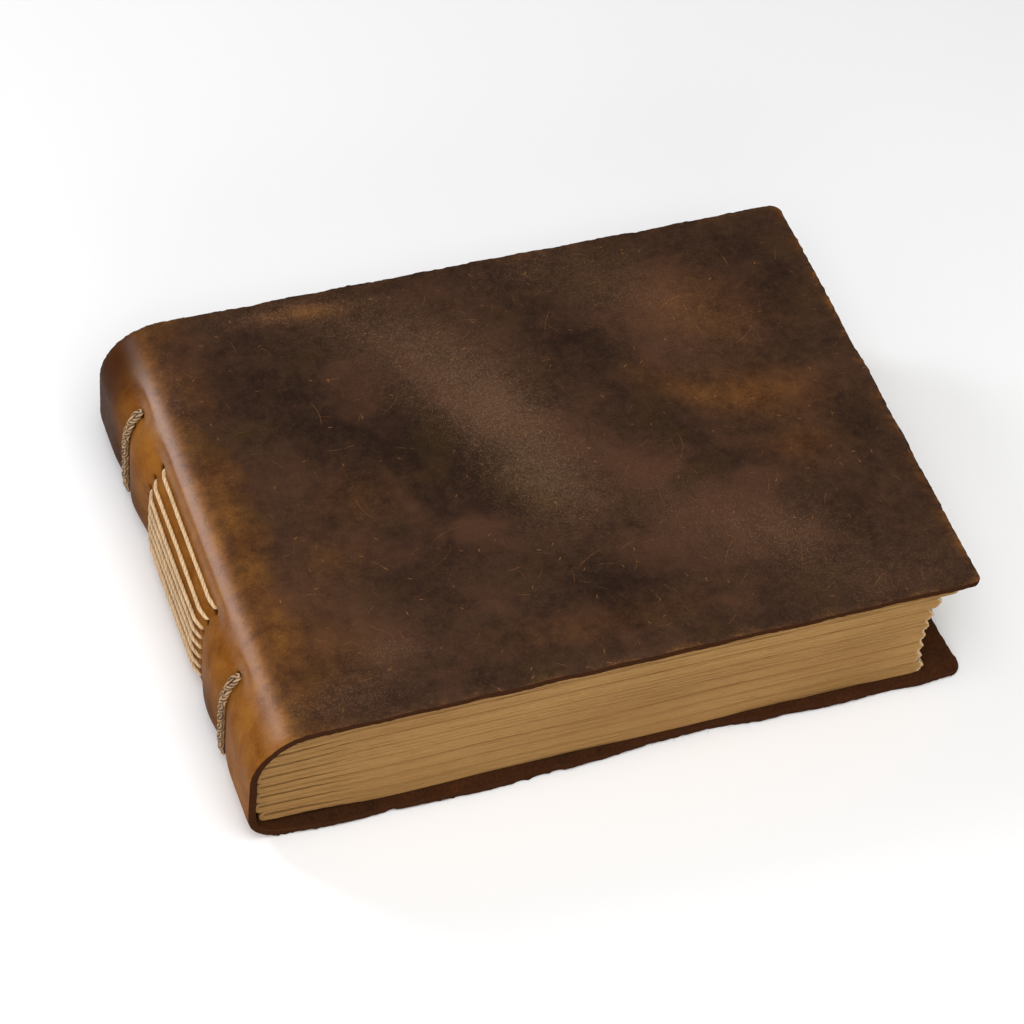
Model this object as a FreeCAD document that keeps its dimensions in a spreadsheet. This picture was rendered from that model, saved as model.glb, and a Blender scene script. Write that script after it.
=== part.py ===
import FreeCAD, Part
import math
import os
import Sketcher

# A leather scrapbook album, lying closed on its back cover.  X runs from the spine to the fore
# edge, Y from the tail to the head, Z up.  One thick hide wraps round eight sewn gatherings of
# folded sheets.  The spine bends between the gatherings, so the hide is parted at those bends.

SIZES = {
    "cover_height": 218.0,         # along Y, tail edge to head edge
    "front_cover_width": 302.0,    # along X, from the spine's outer face
    "back_cover_width": 304.0,
    "album_thickness": 62.0,
    "leather_thickness": 3.4,
    "top_shoulder_radius": 26.0,   # outer radius where the spine turns into the front cover
    "bottom_shoulder_radius": 15.0,
    "front_head_corner": 5.5,      # rounding of the hide's corners, seen from above
    "front_tail_corner": 3.5,
    "back_head_corner": 5.0,
    "back_tail_corner": 6.0,
    "page_height": 210.0,
    "page_width": 281.0,           # from the fold to the fore edge
    "paper_thickness": 0.3,
    "gathering_clearance": 0.4,    # between neighbouring gatherings
    "leather_clearance": 0.3,      # between the paper and the inside of the hide
    "fold_gap": 0.04,              # between one folded sheet and the next, at the fold
    "swell_lead": 1.0,             # from the uppermost fold to where the gatherings begin to swell
    "swell_run": 40.0,             # how far they swell before they lie flat, along X
    "head_link_place": 71.5,       # sewing stations, measured along Y from the middle
    "head_row_place": 40.5,
    "tail_row_place": 33.5,
    "tail_link_place": 68.5,
    "hole_radius": 1.1,
    "thread_radius": 0.85,
    "thread_clearance": 0.1,       # outside the hide
    "channel_clearance": 0.05,     # round the thread inside the innermost fold
    "link_width": 3.4,
    "link_length": 5.5,
    "link_cord_radius": 0.8,
    "cut_gap": 0.3,                # between neighbouring lengths of the hide
    "front_hinge_angle": 58.0,     # up the shoulder from the spine's flat, in degrees
    "front_fold_lead": 4.0,        # second bend of the front cover, on from the end of the shoulder
    "back_hinge_angle": 46.0,
}

GATHERINGS = 8
SHEETS = 6                         # folded sheets in one gathering
LEVEL = 0.005                      # a leaf that rises less than this runs straight
STATIONS = {                       # each sewing station and the side of the middle it is on
    "head_link": 1,
    "head_row": 1,
    "tail_row": -1,
    "tail_link": -1,
}

doc = FreeCAD.newDocument("scrapbook_album")


# ---------------------------------------------------------------- driving dimensions and places

def make_sheet():
    """Write the driving dimensions into a spreadsheet, one named cell each."""
    sheet = doc.addObject("Spreadsheet::Sheet", "Sizes")
    sheet.Label = "driving dimensions"
    for row, (name, value) in enumerate(SIZES.items(), start=1):
        sheet.set(f"A{row}", name)
        sheet.set(f"B{row}", str(value))
        sheet.setAlias(f"B{row}", name)
    doc.recompute()
    return sheet


def make_places(name, formulas):
    """Keep worked-out values in a variable set, each bound to its formula."""
    places = doc.addObject("App::VarSet", name)
    for key, formula in formulas.items():
        places.addProperty("App::PropertyFloat", key, "Places")
        places.setExpression(key, formula)
    return places


def outside_x(height, offset):
    """Formula for the X of the hide's outer face, moved outwards by offset, at a height."""
    top = "Sizes.top_shoulder_radius"
    bottom = "Sizes.bottom_shoulder_radius"
    above = f"(({height}) - Sizes.album_thickness + {top})"
    below = f"({bottom} - ({height}))"
    on_top = f"{top} - sqrt(abs(({top} + ({offset}))^2 - {above}^2))"
    on_bottom = f"{bottom} - sqrt(abs(({bottom} + ({offset}))^2 - {below}^2))"
    return f"{above} > 0 ? {on_top} : ({below} > 0 ? {on_bottom} : 0 - ({offset}))"


def lean(height):
    """Formula for the angle of the outward normal above the horizontal, in degrees."""
    above = f"({height} - Sizes.album_thickness + Sizes.top_shoulder_radius)"
    below = f"(Sizes.bottom_shoulder_radius - {height})"
    top = f"asin(min(1; {above} / Sizes.top_shoulder_radius)) / 1deg"
    bottom = f"0 - asin(min(1; {below} / Sizes.bottom_shoulder_radius)) / 1deg"
    return f"{above} > 0 ? {top} : ({below} > 0 ? {bottom} : 0)"


sizes = make_sheet()
shared = make_places("Shared", {
    "ShiftX": "0 - (Sizes.back_cover_width - 2 * Sizes.thread_radius - Sizes.thread_clearance) / 2",
    "BlockPitch": "(Sizes.album_thickness - 2 * Sizes.leather_thickness"
                  f" - 2 * Sizes.leather_clearance) / {GATHERINGS}",
    "NoseRadius": "Sizes.thread_radius + Sizes.channel_clearance"
                  f" + {SHEETS} * Sizes.paper_thickness + {SHEETS - 1} * Sizes.fold_gap",
})
pitches = make_places("Pitches", {
    "HolePitch": "2 * Shared.NoseRadius + Sizes.gathering_clearance",
    "NoseGap": "Shared.NoseRadius + Sizes.leather_thickness + Sizes.leather_clearance",
    "FrontFoldPlace": "Sizes.top_shoulder_radius + Sizes.front_fold_lead",
})


def place_gathering(number):
    """Heights and X places of one gathering: its fold, its share of the block, its stitches."""
    fold = f"(Sizes.album_thickness / 2 + {(GATHERINGS + 1) / 2 - number} * Pitches.HolePitch)"
    block = (f"Sizes.album_thickness - Sizes.leather_thickness - Sizes.leather_clearance"
             f" - {number - 0.5} * Shared.BlockPitch")
    return make_places(f"Gathering{number}", {
        "FoldHeight": fold,
        "BlockHeight": block,
        "FoldX": outside_x(fold, "0 - Pitches.NoseGap"),
        "StitchX": outside_x(fold, "Sizes.thread_radius + Sizes.thread_clearance"),
        "LinkEndX": outside_x(fold, "0 - Sizes.thread_radius"),
        "LinkX": outside_x(fold, "Sizes.link_cord_radius + Sizes.thread_clearance"),
        "Lean": lean(fold),
    })


def place_cut(number):
    """Outer point and angle of the parting below gathering `number`; 0 is above the first."""
    if number == 0:
        formulas = {
            "Angle": "Sizes.front_hinge_angle",
            "OuterX": "Sizes.top_shoulder_radius * (1 - cos(Sizes.front_hinge_angle * 1deg))",
            "OuterZ": "Sizes.album_thickness - Sizes.top_shoulder_radius"
                      " * (1 - sin(Sizes.front_hinge_angle * 1deg))",
        }
    elif number == GATHERINGS:
        formulas = {
            "Angle": "0 - Sizes.back_hinge_angle",
            "OuterX": "Sizes.bottom_shoulder_radius * (1 - cos(Sizes.back_hinge_angle * 1deg))",
            "OuterZ": "Sizes.bottom_shoulder_radius * (1 - sin(Sizes.back_hinge_angle * 1deg))",
        }
    else:
        height = f"(Sizes.album_thickness / 2 + {GATHERINGS / 2 - number} * Pitches.HolePitch)"
        formulas = {"Angle": lean(height), "OuterX": outside_x(height, "0"), "OuterZ": height}
    return make_places(f"Cut{number}", formulas)


gathering_places = {number: place_gathering(number) for number in range(1, GATHERINGS + 1)}
swell = make_places("Swell", {
    "Start": "Gathering1.FoldX + Sizes.swell_lead",
    "End": "Gathering1.FoldX + Sizes.swell_lead + Sizes.swell_run",
})
cut_places = [place_cut(number) for number in range(GATHERINGS + 1)]
doc.recompute()


def settle(part, label):
    """Give a sub-part its label and move it from the spine's corner to the album's own origin."""
    part.Label = label
    part.setExpression("Placement.Base.x", "Shared.ShiftX")
    return part


# ---------------------------------------------------------------- the hide

def origin_plane(body, role):
    """One of a body's own origin planes."""
    return [item for item in body.Origin.OriginFeatures if item.Role == role][0]


def hide_outline(body):
    """The hide's cross-section: a strip that wraps back cover, spine and front cover."""
    sketch = body.newObject("Sketcher::SketchObject", "hide_outline")
    sketch.AttachmentSupport = (origin_plane(body, "XZ_Plane"), "")
    sketch.MapMode = "FlatFace"
    leather, thick = SIZES["leather_thickness"], SIZES["album_thickness"]
    top, bottom = SIZES["top_shoulder_radius"], SIZES["bottom_shoulder_radius"]
    front, back = SIZES["front_cover_width"], SIZES["back_cover_width"]

    def line(x1, y1, x2, y2):
        return Part.LineSegment(FreeCAD.Vector(x1, y1, 0), FreeCAD.Vector(x2, y2, 0))

    def corner(radius, middle_x, middle_y, first, last):
        circle = Part.Circle(FreeCAD.Vector(middle_x, middle_y, 0), FreeCAD.Vector(0, 0, 1), radius)
        return Part.ArcOfCircle(circle, first, last)

    quarter, half, three = math.pi / 2, math.pi, 1.5 * math.pi
    (under, low_outer, spine_outer, high_outer, over, front_edge,
     over_inner, high_inner, spine_inner, low_inner, under_inner, back_edge) = sketch.addGeometry([
        line(back, 0, bottom, 0),
        corner(bottom, bottom, bottom, half, three),
        line(0, bottom, 0, thick - top),
        corner(top, top, thick - top, quarter, half),
        line(top, thick, front, thick),
        line(front, thick, front, thick - leather),
        line(front, thick - leather, top, thick - leather),
        corner(top - leather, top, thick - top, quarter, half),
        line(leather, thick - top, leather, bottom),
        corner(bottom - leather, bottom, bottom, half, three),
        line(bottom, leather, back, leather),
        line(back, leather, back, 0),
    ], False)
    make = Sketcher.Constraint
    sketch.addConstraint([
        make("Tangent", under, 2, low_outer, 2),
        make("Tangent", low_outer, 1, spine_outer, 1),
        make("Tangent", spine_outer, 2, high_outer, 2),
        make("Tangent", high_outer, 1, over, 1),
        make("Coincident", over, 2, front_edge, 1),
        make("Coincident", front_edge, 2, over_inner, 1),
        make("Tangent", over_inner, 2, high_inner, 1),
        make("Tangent", high_inner, 2, spine_inner, 1),
        make("Tangent", spine_inner, 2, low_inner, 1),
        make("Tangent", low_inner, 2, under_inner, 1),
        make("Coincident", under_inner, 2, back_edge, 1),
        make("Coincident", back_edge, 2, under, 1),
        make("Coincident", high_outer, 3, high_inner, 3),
        make("Coincident", low_outer, 3, low_inner, 3),
        make("Vertical", front_edge),
        make("Vertical", back_edge),
        make("Horizontal", over),
        make("Horizontal", over_inner),
        make("PointOnObject", under, 1, -1),
        make("PointOnObject", under, 2, -1),
        make("PointOnObject", spine_outer, 1, -2),
        make("PointOnObject", spine_outer, 2, -2),
    ])
    measured = {
        "top": (make("Radius", high_outer, top), "Sizes.top_shoulder_radius"),
        "bottom": (make("Radius", low_outer, bottom), "Sizes.bottom_shoulder_radius"),
        "thick": (make("DistanceY", -1, 1, over, 2, thick), "Sizes.album_thickness"),
        "front": (make("DistanceX", -1, 1, over, 2, front), "Sizes.front_cover_width"),
        "back": (make("DistanceX", -1, 1, under, 1, back), "Sizes.back_cover_width"),
        "upper": (make("DistanceY", front_edge, 2, front_edge, 1, leather), "Sizes.leather_thickness"),
        "lower": (make("DistanceY", back_edge, 2, back_edge, 1, leather), "Sizes.leather_thickness"),
    }
    for name, (constraint, formula) in measured.items():
        index = sketch.addConstraint(constraint)
        sketch.renameConstraint(index, name)
        sketch.setExpression(f"Constraints.{name}", formula)
    return sketch


def round_corners(body, base):
    """Round the hide's four free corners, each with its own radius."""
    corners = {
        "front_head_corner": ("front_cover_width", 1, True),
        "front_tail_corner": ("front_cover_width", -1, True),
        "back_head_corner": ("back_cover_width", 1, False),
        "back_tail_corner": ("back_cover_width", -1, False),
    }
    for name, (width, side, upper) in corners.items():
        doc.recompute()
        middle = sizes.album_thickness / 2
        place = (sizes.get(width), side * sizes.cover_height / 2)
        found = [
            f"Edge{index}"
            for index, edge in enumerate(base.Shape.Edges, start=1)
            if math.dist((edge.CenterOfMass.x, edge.CenterOfMass.y), place) < sizes.cut_gap
            and (edge.CenterOfMass.z > middle) == upper
        ]
        if len(found) != 1:
            raise ValueError(f"{name}: {len(found)} edges found")
        fillet = body.newObject("PartDesign::Fillet", name)
        fillet.Base = (base, found)
        fillet.setExpression("Radius", f"Sizes.{name}")
        base = fillet
    return base


def punch_holes(body):
    """Punch the sewing holes: one row of four stations, repeated up the spine."""
    sketch = body.newObject("Sketcher::SketchObject", "hole_row")
    sketch.AttachmentSupport = (origin_plane(body, "YZ_Plane"), "")
    sketch.MapMode = "FlatFace"
    lowest = gathering_places[GATHERINGS].FoldHeight
    for name, side in STATIONS.items():
        place = SIZES[f"{name}_place"]
        circle = Part.Circle(FreeCAD.Vector(side * place, lowest, 0), FreeCAD.Vector(0, 0, 1),
                             SIZES["hole_radius"])
        hole = sketch.addGeometry(circle, False)
        along = [(-1, 1, hole, 3), (hole, 3, -1, 1)][side < 0]
        measured = {
            f"{name}_size": (Sketcher.Constraint("Radius", hole, SIZES["hole_radius"]),
                             "Sizes.hole_radius"),
            f"{name}_along": (Sketcher.Constraint("DistanceX", *along, place),
                              f"Sizes.{name}_place"),
            f"{name}_height": (Sketcher.Constraint("DistanceY", -1, 1, hole, 3, lowest),
                               f"Gathering{GATHERINGS}.FoldHeight"),
        }
        for key, (constraint, formula) in measured.items():
            index = sketch.addConstraint(constraint)
            sketch.renameConstraint(index, key)
            sketch.setExpression(f"Constraints.{key}", formula)
    holes = body.newObject("PartDesign::Pocket", "holes_of_lowest_gathering")
    holes.Profile = sketch
    holes.Midplane = True
    holes.setExpression("Length", "2 * (Sizes.top_shoulder_radius + Sizes.leather_thickness)")
    doc.recompute()
    rows = body.newObject("PartDesign::LinearPattern", "holes_of_all_gatherings")
    rows.Originals = [holes]
    rows.Direction = (sketch, ["V_Axis"])
    rows.Occurrences = GATHERINGS
    rows.setExpression("Length", f"{GATHERINGS - 1} * Pitches.HolePitch")
    body.Tip = rows
    return rows


def make_hide():
    """The whole hide, before it is parted at its bends."""
    body = doc.addObject("PartDesign::Body", "hide")
    outline = hide_outline(body)
    doc.recompute()
    pad = body.newObject("PartDesign::Pad", "hide_sheet")
    pad.Profile = outline
    pad.Midplane = True
    pad.setExpression("Length", "Sizes.cover_height")
    doc.recompute()
    rounded = round_corners(body, pad)
    doc.recompute()
    whole = body.Shape.Volume
    punch_holes(body)
    doc.recompute()
    if not body.Shape.Volume < whole:
        raise ValueError("the sewing holes cut nothing")
    outline.Visibility = False
    return body


def cut_line(number, side):
    """Two points of a parting line, outside and inside the hide, moved aside by half the gap."""
    cut = cut_places[number]
    angle = math.radians(cut.Angle)
    outward = FreeCAD.Vector(-math.cos(angle), 0, math.sin(angle))
    upward = FreeCAD.Vector(math.sin(angle), 0, math.cos(angle))
    outer = FreeCAD.Vector(cut.OuterX, 0, cut.OuterZ) + upward * (side * sizes.cut_gap / 2)
    past = sizes.leather_thickness / 2
    return outer + outward * past, outer - outward * (sizes.leather_thickness + past)


def make_region(name, outline):
    """A prism over the whole album's height that takes one length out of the hide."""
    half = FreeCAD.Vector(0, sizes.cover_height, 0)
    face = Part.Face(Part.makePolygon([point - half for point in outline + outline[:1]]))
    region = doc.addObject("Part::Feature", name)
    region.Shape = face.extrude(half * 2)
    return region


def take_from_hide(label, region):
    """One length of the hide: what the hide and a region have in common."""
    piece = doc.addObject("Part::Common", label)
    piece.Base = hide
    piece.Tool = region
    return settle(piece, label)


def make_leather():
    """Front cover, its shoulder, one strip of spine for each gathering, and back cover."""
    reach = max(sizes.front_cover_width, sizes.back_cover_width) + sizes.leather_thickness
    above = sizes.album_thickness + sizes.leather_thickness
    outer, inner = cut_line(0, 1)
    fold = pitches.FrontFoldPlace
    half_gap = sizes.cut_gap / 2
    shoulder = make_region("shoulder_region", [
        outer,
        FreeCAD.Vector(outer.x, 0, above),
        FreeCAD.Vector(fold - half_gap, 0, above),
        FreeCAD.Vector(fold - half_gap, 0, inner.z),
        inner,
    ])
    front = make_region("front_region", [
        FreeCAD.Vector(fold + half_gap, 0, above),
        FreeCAD.Vector(reach, 0, above),
        FreeCAD.Vector(reach, 0, inner.z),
        FreeCAD.Vector(fold + half_gap, 0, inner.z),
    ])
    pieces = [take_from_hide("front_cover", front), take_from_hide("front_shoulder", shoulder)]
    for number in range(1, GATHERINGS + 1):
        upper_outer, upper_inner = cut_line(number - 1, -1)
        lower_outer, lower_inner = cut_line(number, 1)
        region = make_region(f"strip_region_{number}",
                             [upper_outer, upper_inner, lower_inner, lower_outer])
        pieces.append(take_from_hide(f"spine_strip_{number}", region))
    outer, inner = cut_line(GATHERINGS, -1)
    back = make_region("back_region", [
        inner,
        FreeCAD.Vector(reach, 0, inner.z),
        FreeCAD.Vector(reach, 0, -sizes.leather_thickness),
        FreeCAD.Vector(outer.x, 0, -sizes.leather_thickness),
        outer,
    ])
    pieces.append(take_from_hide("back_cover", back))
    return pieces


# ---------------------------------------------------------------- the paper

def swell_edges(start_height, end_height):
    """An S of two tangent arcs from one height to another, over the swell's length along X."""
    first = FreeCAD.Vector(swell.Start, 0, start_height)
    last = FreeCAD.Vector(swell.End, 0, end_height)
    rise = end_height - start_height
    if abs(rise) < LEVEL:
        return [Part.makeLine(first, last)]
    middle = (first + last) / 2
    radius = ((last.x - first.x) ** 2 + rise ** 2) / (4 * abs(rise))
    turn = math.asin((middle.x - first.x) / radius) / 2
    dip = radius * (1 - math.cos(turn)) * math.copysign(1, rise)
    run = radius * math.sin(turn)
    low = FreeCAD.Vector(first.x + run, 0, first.z + dip)
    high = FreeCAD.Vector(last.x - run, 0, last.z - dip)
    return [Part.Arc(first, low, middle).toShape(), Part.Arc(middle, high, last).toShape()]


def leaf_side(place, nose, flat):
    """One face line of a leaf: level from the fold, an S, and level to the fore edge."""
    fore_edge = place.FoldX - shared.NoseRadius + sizes.page_width
    near, far = place.FoldHeight + nose, place.BlockHeight + flat
    return [
        Part.makeLine(FreeCAD.Vector(place.FoldX, 0, near), FreeCAD.Vector(swell.Start, 0, near)),
        *swell_edges(near, far),
        Part.makeLine(FreeCAD.Vector(swell.End, 0, far), FreeCAD.Vector(fore_edge, 0, far)),
    ]


def folded_sheet(place, number):
    """One sheet folded in half: two leaves joined by a half-round nose, counted from inside."""
    half = sizes.paper_thickness / 2
    inmost = sizes.thread_radius + sizes.channel_clearance + half
    nose = inmost + number * (shared.NoseRadius - half - inmost) / (SHEETS - 1)
    flat_step = (shared.BlockPitch - sizes.gathering_clearance - 2 * half) / (2 * SHEETS - 1)
    flat = (number + 0.5) * flat_step
    middle = FreeCAD.Vector(place.FoldX, 0, place.FoldHeight)
    edges = []
    for offset in (half, -half):
        turn = nose + offset
        edges += leaf_side(place, turn, flat + offset)
        edges += leaf_side(place, -turn, -flat - offset)
        edges.append(Part.Arc(middle + FreeCAD.Vector(0, 0, turn), middle - FreeCAD.Vector(turn, 0, 0),
                              middle - FreeCAD.Vector(0, 0, turn)).toShape())
    fore_edge = place.FoldX - shared.NoseRadius + sizes.page_width
    for side in (1, -1):
        height = place.BlockHeight + side * flat
        edges.append(Part.makeLine(FreeCAD.Vector(fore_edge, 0, height - half),
                                   FreeCAD.Vector(fore_edge, 0, height + half)))
    outline = Part.Wire(Part.__sortEdges__(edges))
    sheet = Part.Face(outline).extrude(FreeCAD.Vector(0, sizes.page_height, 0))
    sheet.translate(FreeCAD.Vector(0, -sizes.page_height / 2, 0))
    return sheet


def make_gathering(number):
    """A gathering: nested folded sheets, pierced at the four sewing stations."""
    place = gathering_places[number]
    piercings = [
        Part.makeCylinder(sizes.hole_radius, pitches.NoseGap,
                          FreeCAD.Vector(place.FoldX - pitches.NoseGap, side * sizes.get(f"{name}_place"),
                                         place.FoldHeight), FreeCAD.Vector(1, 0, 0))
        for name, side in STATIONS.items()
    ]
    sheets = [folded_sheet(place, index).cut(piercings).Solids[0] for index in range(SHEETS)]
    gathering = doc.addObject("Part::Feature", f"gathering_{number}")
    gathering.Shape = Part.Compound(sheets)
    return settle(gathering, f"gathering_{number}")


# ---------------------------------------------------------------- the thread

def straight(name, start, length, turned):
    """A straight run of thread from a start point; turned is its rotation away from upright."""
    run = doc.addObject("Part::Cylinder", name)
    run.setExpression("Radius", "Sizes.thread_radius")
    run.setExpression("Height", length)
    run.setExpression("Placement", f"create(<<placement>>; create(<<vector>>; {start}); {turned})")
    return run


def knee(name, place):
    """The rounded turn of the thread at the end of a run."""
    ball = doc.addObject("Part::Sphere", name)
    ball.setExpression("Radius", "Sizes.thread_radius")
    ball.setExpression("Placement.Base", f"create(<<vector>>; {place})")
    return ball


def make_thread(number):
    """One gathering's thread: in by the head link, out and along the spine, in and out again."""
    own = f"Gathering{number}"
    height = f"{own}.FoldHeight"
    along_x = "create(<<rotation>>; create(<<vector>>; 0; 1; 0); 90)"
    along_y = "create(<<rotation>>; create(<<vector>>; 1; 0; 0); -90)"
    spot = {name: f"{side} * Sizes.{name}_place" for name, side in STATIONS.items()}
    across = {"head_link": "LinkEndX", "head_row": "StitchX", "tail_row": "StitchX",
              "tail_link": "LinkEndX"}
    pieces = []
    for name, outer in across.items():
        pieces.append(straight(f"thread_{number}_{name}", f"{own}.{outer}; {spot[name]}; {height}",
                               f"{own}.FoldX - {own}.{outer}", along_x))
        pieces.append(knee(f"thread_{number}_{name}_turn", f"{own}.FoldX; {spot[name]}; {height}"))
        if outer == "StitchX":
            pieces.append(knee(f"thread_{number}_{name}_bend", f"{own}.{outer}; {spot[name]}; {height}"))
    for name, low, high, x_place in (("head_run", "head_row", "head_link", "FoldX"),
                                     ("long_stitch", "tail_row", "head_row", "StitchX"),
                                     ("tail_run", "tail_link", "tail_row", "FoldX")):
        pieces.append(straight(f"thread_{number}_{name}", f"{own}.{x_place}; {spot[low]}; {height}",
                               f"{spot[high]} - ({spot[low]})", along_y))
    thread = doc.addObject("Part::MultiFuse", f"sewing_thread_{number}")
    thread.Shapes = pieces
    return settle(thread, f"sewing_thread_{number}")


def make_link_loop():
    """The loop of one link stitch: a cord swept round a long oval that lies on the spine."""
    body = doc.addObject("PartDesign::Body", "link_loop")
    width = SIZES["link_width"] - 2 * SIZES["link_cord_radius"]
    length = SIZES["link_length"] - 2 * SIZES["link_cord_radius"]
    radius, half = width / 2, (length - width) / 2
    path = body.newObject("Sketcher::SketchObject", "link_path")
    path.AttachmentSupport = (origin_plane(body, "YZ_Plane"), "")
    path.MapMode = "FlatFace"
    upper = Part.Circle(FreeCAD.Vector(0, half, 0), FreeCAD.Vector(0, 0, 1), radius)
    lower = Part.Circle(FreeCAD.Vector(0, -half, 0), FreeCAD.Vector(0, 0, 1), radius)
    left, right = (Part.LineSegment(FreeCAD.Vector(side * radius, -side * half, 0),
                                    FreeCAD.Vector(side * radius, side * half, 0))
                   for side in (-1, 1))
    top, fall, bottom, rise = path.addGeometry([
        Part.ArcOfCircle(upper, 0, math.pi),
        left,
        Part.ArcOfCircle(lower, math.pi, 2 * math.pi),
        right,
    ], False)
    make = Sketcher.Constraint
    path.addConstraint([
        make("Tangent", top, 2, fall, 1),
        make("Tangent", fall, 2, bottom, 1),
        make("Tangent", bottom, 2, rise, 1),
        make("Tangent", rise, 2, top, 1),
        make("Vertical", fall),
        make("PointOnObject", top, 3, -2),
        make("Symmetric", top, 3, bottom, 3, -1, 1),
    ])
    width_cell = "(Sizes.link_width - 2 * Sizes.link_cord_radius)"
    for name, constraint, formula in (
            ("turn", make("Radius", top, radius), f"{width_cell} / 2"),
            ("side", make("Distance", rise, 2 * half),
             f"Sizes.link_length - 2 * Sizes.link_cord_radius - {width_cell}")):
        index = path.addConstraint(constraint)
        path.renameConstraint(index, name)
        path.setExpression(f"Constraints.{name}", formula)
    section = body.newObject("Sketcher::SketchObject", "link_section")
    section.AttachmentSupport = (origin_plane(body, "XY_Plane"), "")
    section.MapMode = "FlatFace"
    cord = section.addGeometry(Part.Circle(FreeCAD.Vector(0, radius, 0), FreeCAD.Vector(0, 0, 1),
                                           SIZES["link_cord_radius"]), False)
    section.addConstraint(make("PointOnObject", cord, 3, -2))
    for name, constraint, formula in (
            ("place", make("DistanceY", -1, 1, cord, 3, radius), f"{width_cell} / 2"),
            ("size", make("Radius", cord, SIZES["link_cord_radius"]), "Sizes.link_cord_radius")):
        index = section.addConstraint(constraint)
        section.renameConstraint(index, name)
        section.setExpression(f"Constraints.{name}", formula)
    doc.recompute()
    pipe = body.newObject("PartDesign::AdditivePipe", "link_cord")
    pipe.Profile = section
    pipe.Spine = (path, [f"Edge{index + 1}" for index in range(4)])
    doc.recompute()
    return body


def make_link(number, end):
    """One link stitch: the loop, laid on the spine over its gathering's hole."""
    own = f"Gathering{number}"
    link = doc.addObject("Part::Compound", f"{end}_{number}")
    link.Links = [link_loop]
    place = f"{own}.LinkX + Shared.ShiftX; {STATIONS[end]} * Sizes.{end}_place; {own}.FoldHeight"
    turn = f"create(<<rotation>>; create(<<vector>>; 0; 1; 0); {own}.Lean)"
    link.setExpression("Placement", f"create(<<placement>>; create(<<vector>>; {place}); {turn})")
    link.Label = f"{end}_{number}"
    return link


# ---------------------------------------------------------------- build, check and export

hide = make_hide()
parts = make_leather()
link_loop = make_link_loop()
for gathering_number in range(1, GATHERINGS + 1):
    parts.append(make_gathering(gathering_number))
    parts.append(make_thread(gathering_number))
    parts.append(make_link(gathering_number, "head_link"))
    parts.append(make_link(gathering_number, "tail_link"))
doc.recompute()

for item in doc.Objects:
    if "Invalid" in item.State or "Error" in item.State:
        raise ValueError(f"{item.Label} failed: {item.State}")
for part in parts:
    if part.Shape.isNull() or not part.Shape.isValid() or not part.Shape.Solids:
        raise ValueError(f"{part.Label} has no valid solid")

os.makedirs("parts", exist_ok=True)
for part in parts:
    part.Shape.exportStep(f"parts/{part.Label}.step")

for label, cut in [("front_hinge", cut_places[0]), *((f"gap_{n}", cut_places[n]) for n in
                   range(1, GATHERINGS)), ("back_hinge", cut_places[-1])]:
    print(f"{label}: x {cut.OuterX + shared.ShiftX:.4f}  z {cut.OuterZ:.4f}  angle {cut.Angle:.3f}")
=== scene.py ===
"""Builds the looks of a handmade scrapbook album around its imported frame.

A thick hide wraps eight sewn gatherings of folded paper. Long stitches cross the middle of the spine, and
a braid of linked stitches runs down it near the head and near the tail. Builders work in millimetres, in the
frame's own axes, and make_object turns their points into metres.
"""

from __future__ import annotations

import logging
import math
from dataclasses import dataclass, field
from enum import Enum
from typing import Any, Sequence

import bpy
import numpy as np
from mathutils import Matrix, Vector


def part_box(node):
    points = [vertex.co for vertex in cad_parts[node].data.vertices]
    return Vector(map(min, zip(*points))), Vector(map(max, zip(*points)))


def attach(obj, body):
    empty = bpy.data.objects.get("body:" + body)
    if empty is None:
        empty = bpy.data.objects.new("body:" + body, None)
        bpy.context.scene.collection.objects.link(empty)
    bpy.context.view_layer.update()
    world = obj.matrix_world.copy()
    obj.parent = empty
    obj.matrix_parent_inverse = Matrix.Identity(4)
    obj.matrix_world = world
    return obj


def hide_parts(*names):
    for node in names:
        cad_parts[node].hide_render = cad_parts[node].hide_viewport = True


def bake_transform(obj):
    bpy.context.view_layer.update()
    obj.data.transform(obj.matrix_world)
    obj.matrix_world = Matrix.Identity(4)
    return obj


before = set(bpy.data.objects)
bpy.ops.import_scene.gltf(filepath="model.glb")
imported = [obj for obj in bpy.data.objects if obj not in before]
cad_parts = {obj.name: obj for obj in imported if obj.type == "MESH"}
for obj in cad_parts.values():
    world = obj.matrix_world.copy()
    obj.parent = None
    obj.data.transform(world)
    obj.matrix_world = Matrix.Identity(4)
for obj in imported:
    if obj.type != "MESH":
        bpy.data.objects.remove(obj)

log = logging.getLogger("scrapbook_album")

Array = np.ndarray
Colour = tuple[float, float, float]

METRES = 0.001
GATHERINGS = 8
SHEETS = 6
THREAD_RADIUS = 0.85
# How much of the sewing's tuck reaches the hide's flesh side and the paper's folds.
TUCK_SHARE = 0.62
# How far a hole's middle lies from its station, in the way that the thread pulls it.
HOLE_SHIFT = 0.9
# Where a cut edge has its rows of points: the way in from the edge, and the depth in shares of the thickness.
NEAR_EDGE = np.array([0.45, 0.8, 1.3, 2.0])
RIM_DEPTHS = np.array([0.06, 0.17, 0.34, 0.5])
SIDE_DEPTHS = np.array([0.06, 0.17, 0.34, 0.66, 0.83, 0.94])


class Side(Enum):
    """The two ends of the spine, with the sign of Y towards each."""

    HEAD = 1
    TAIL = -1


# ---------------------------------------------------------------- numbers and meshes


def srgb(red: int, green: int, blue: int) -> Colour:
    """Turns a colour as a screen shows it, 0 to 255, into the linear one that a shader takes."""
    shown = np.array([red, green, blue]) / 255
    linear = np.where(shown <= 0.04045, shown / 12.92, ((shown + 0.055) / 1.055) ** 2.4)
    return tuple(float(part) for part in linear)


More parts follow.
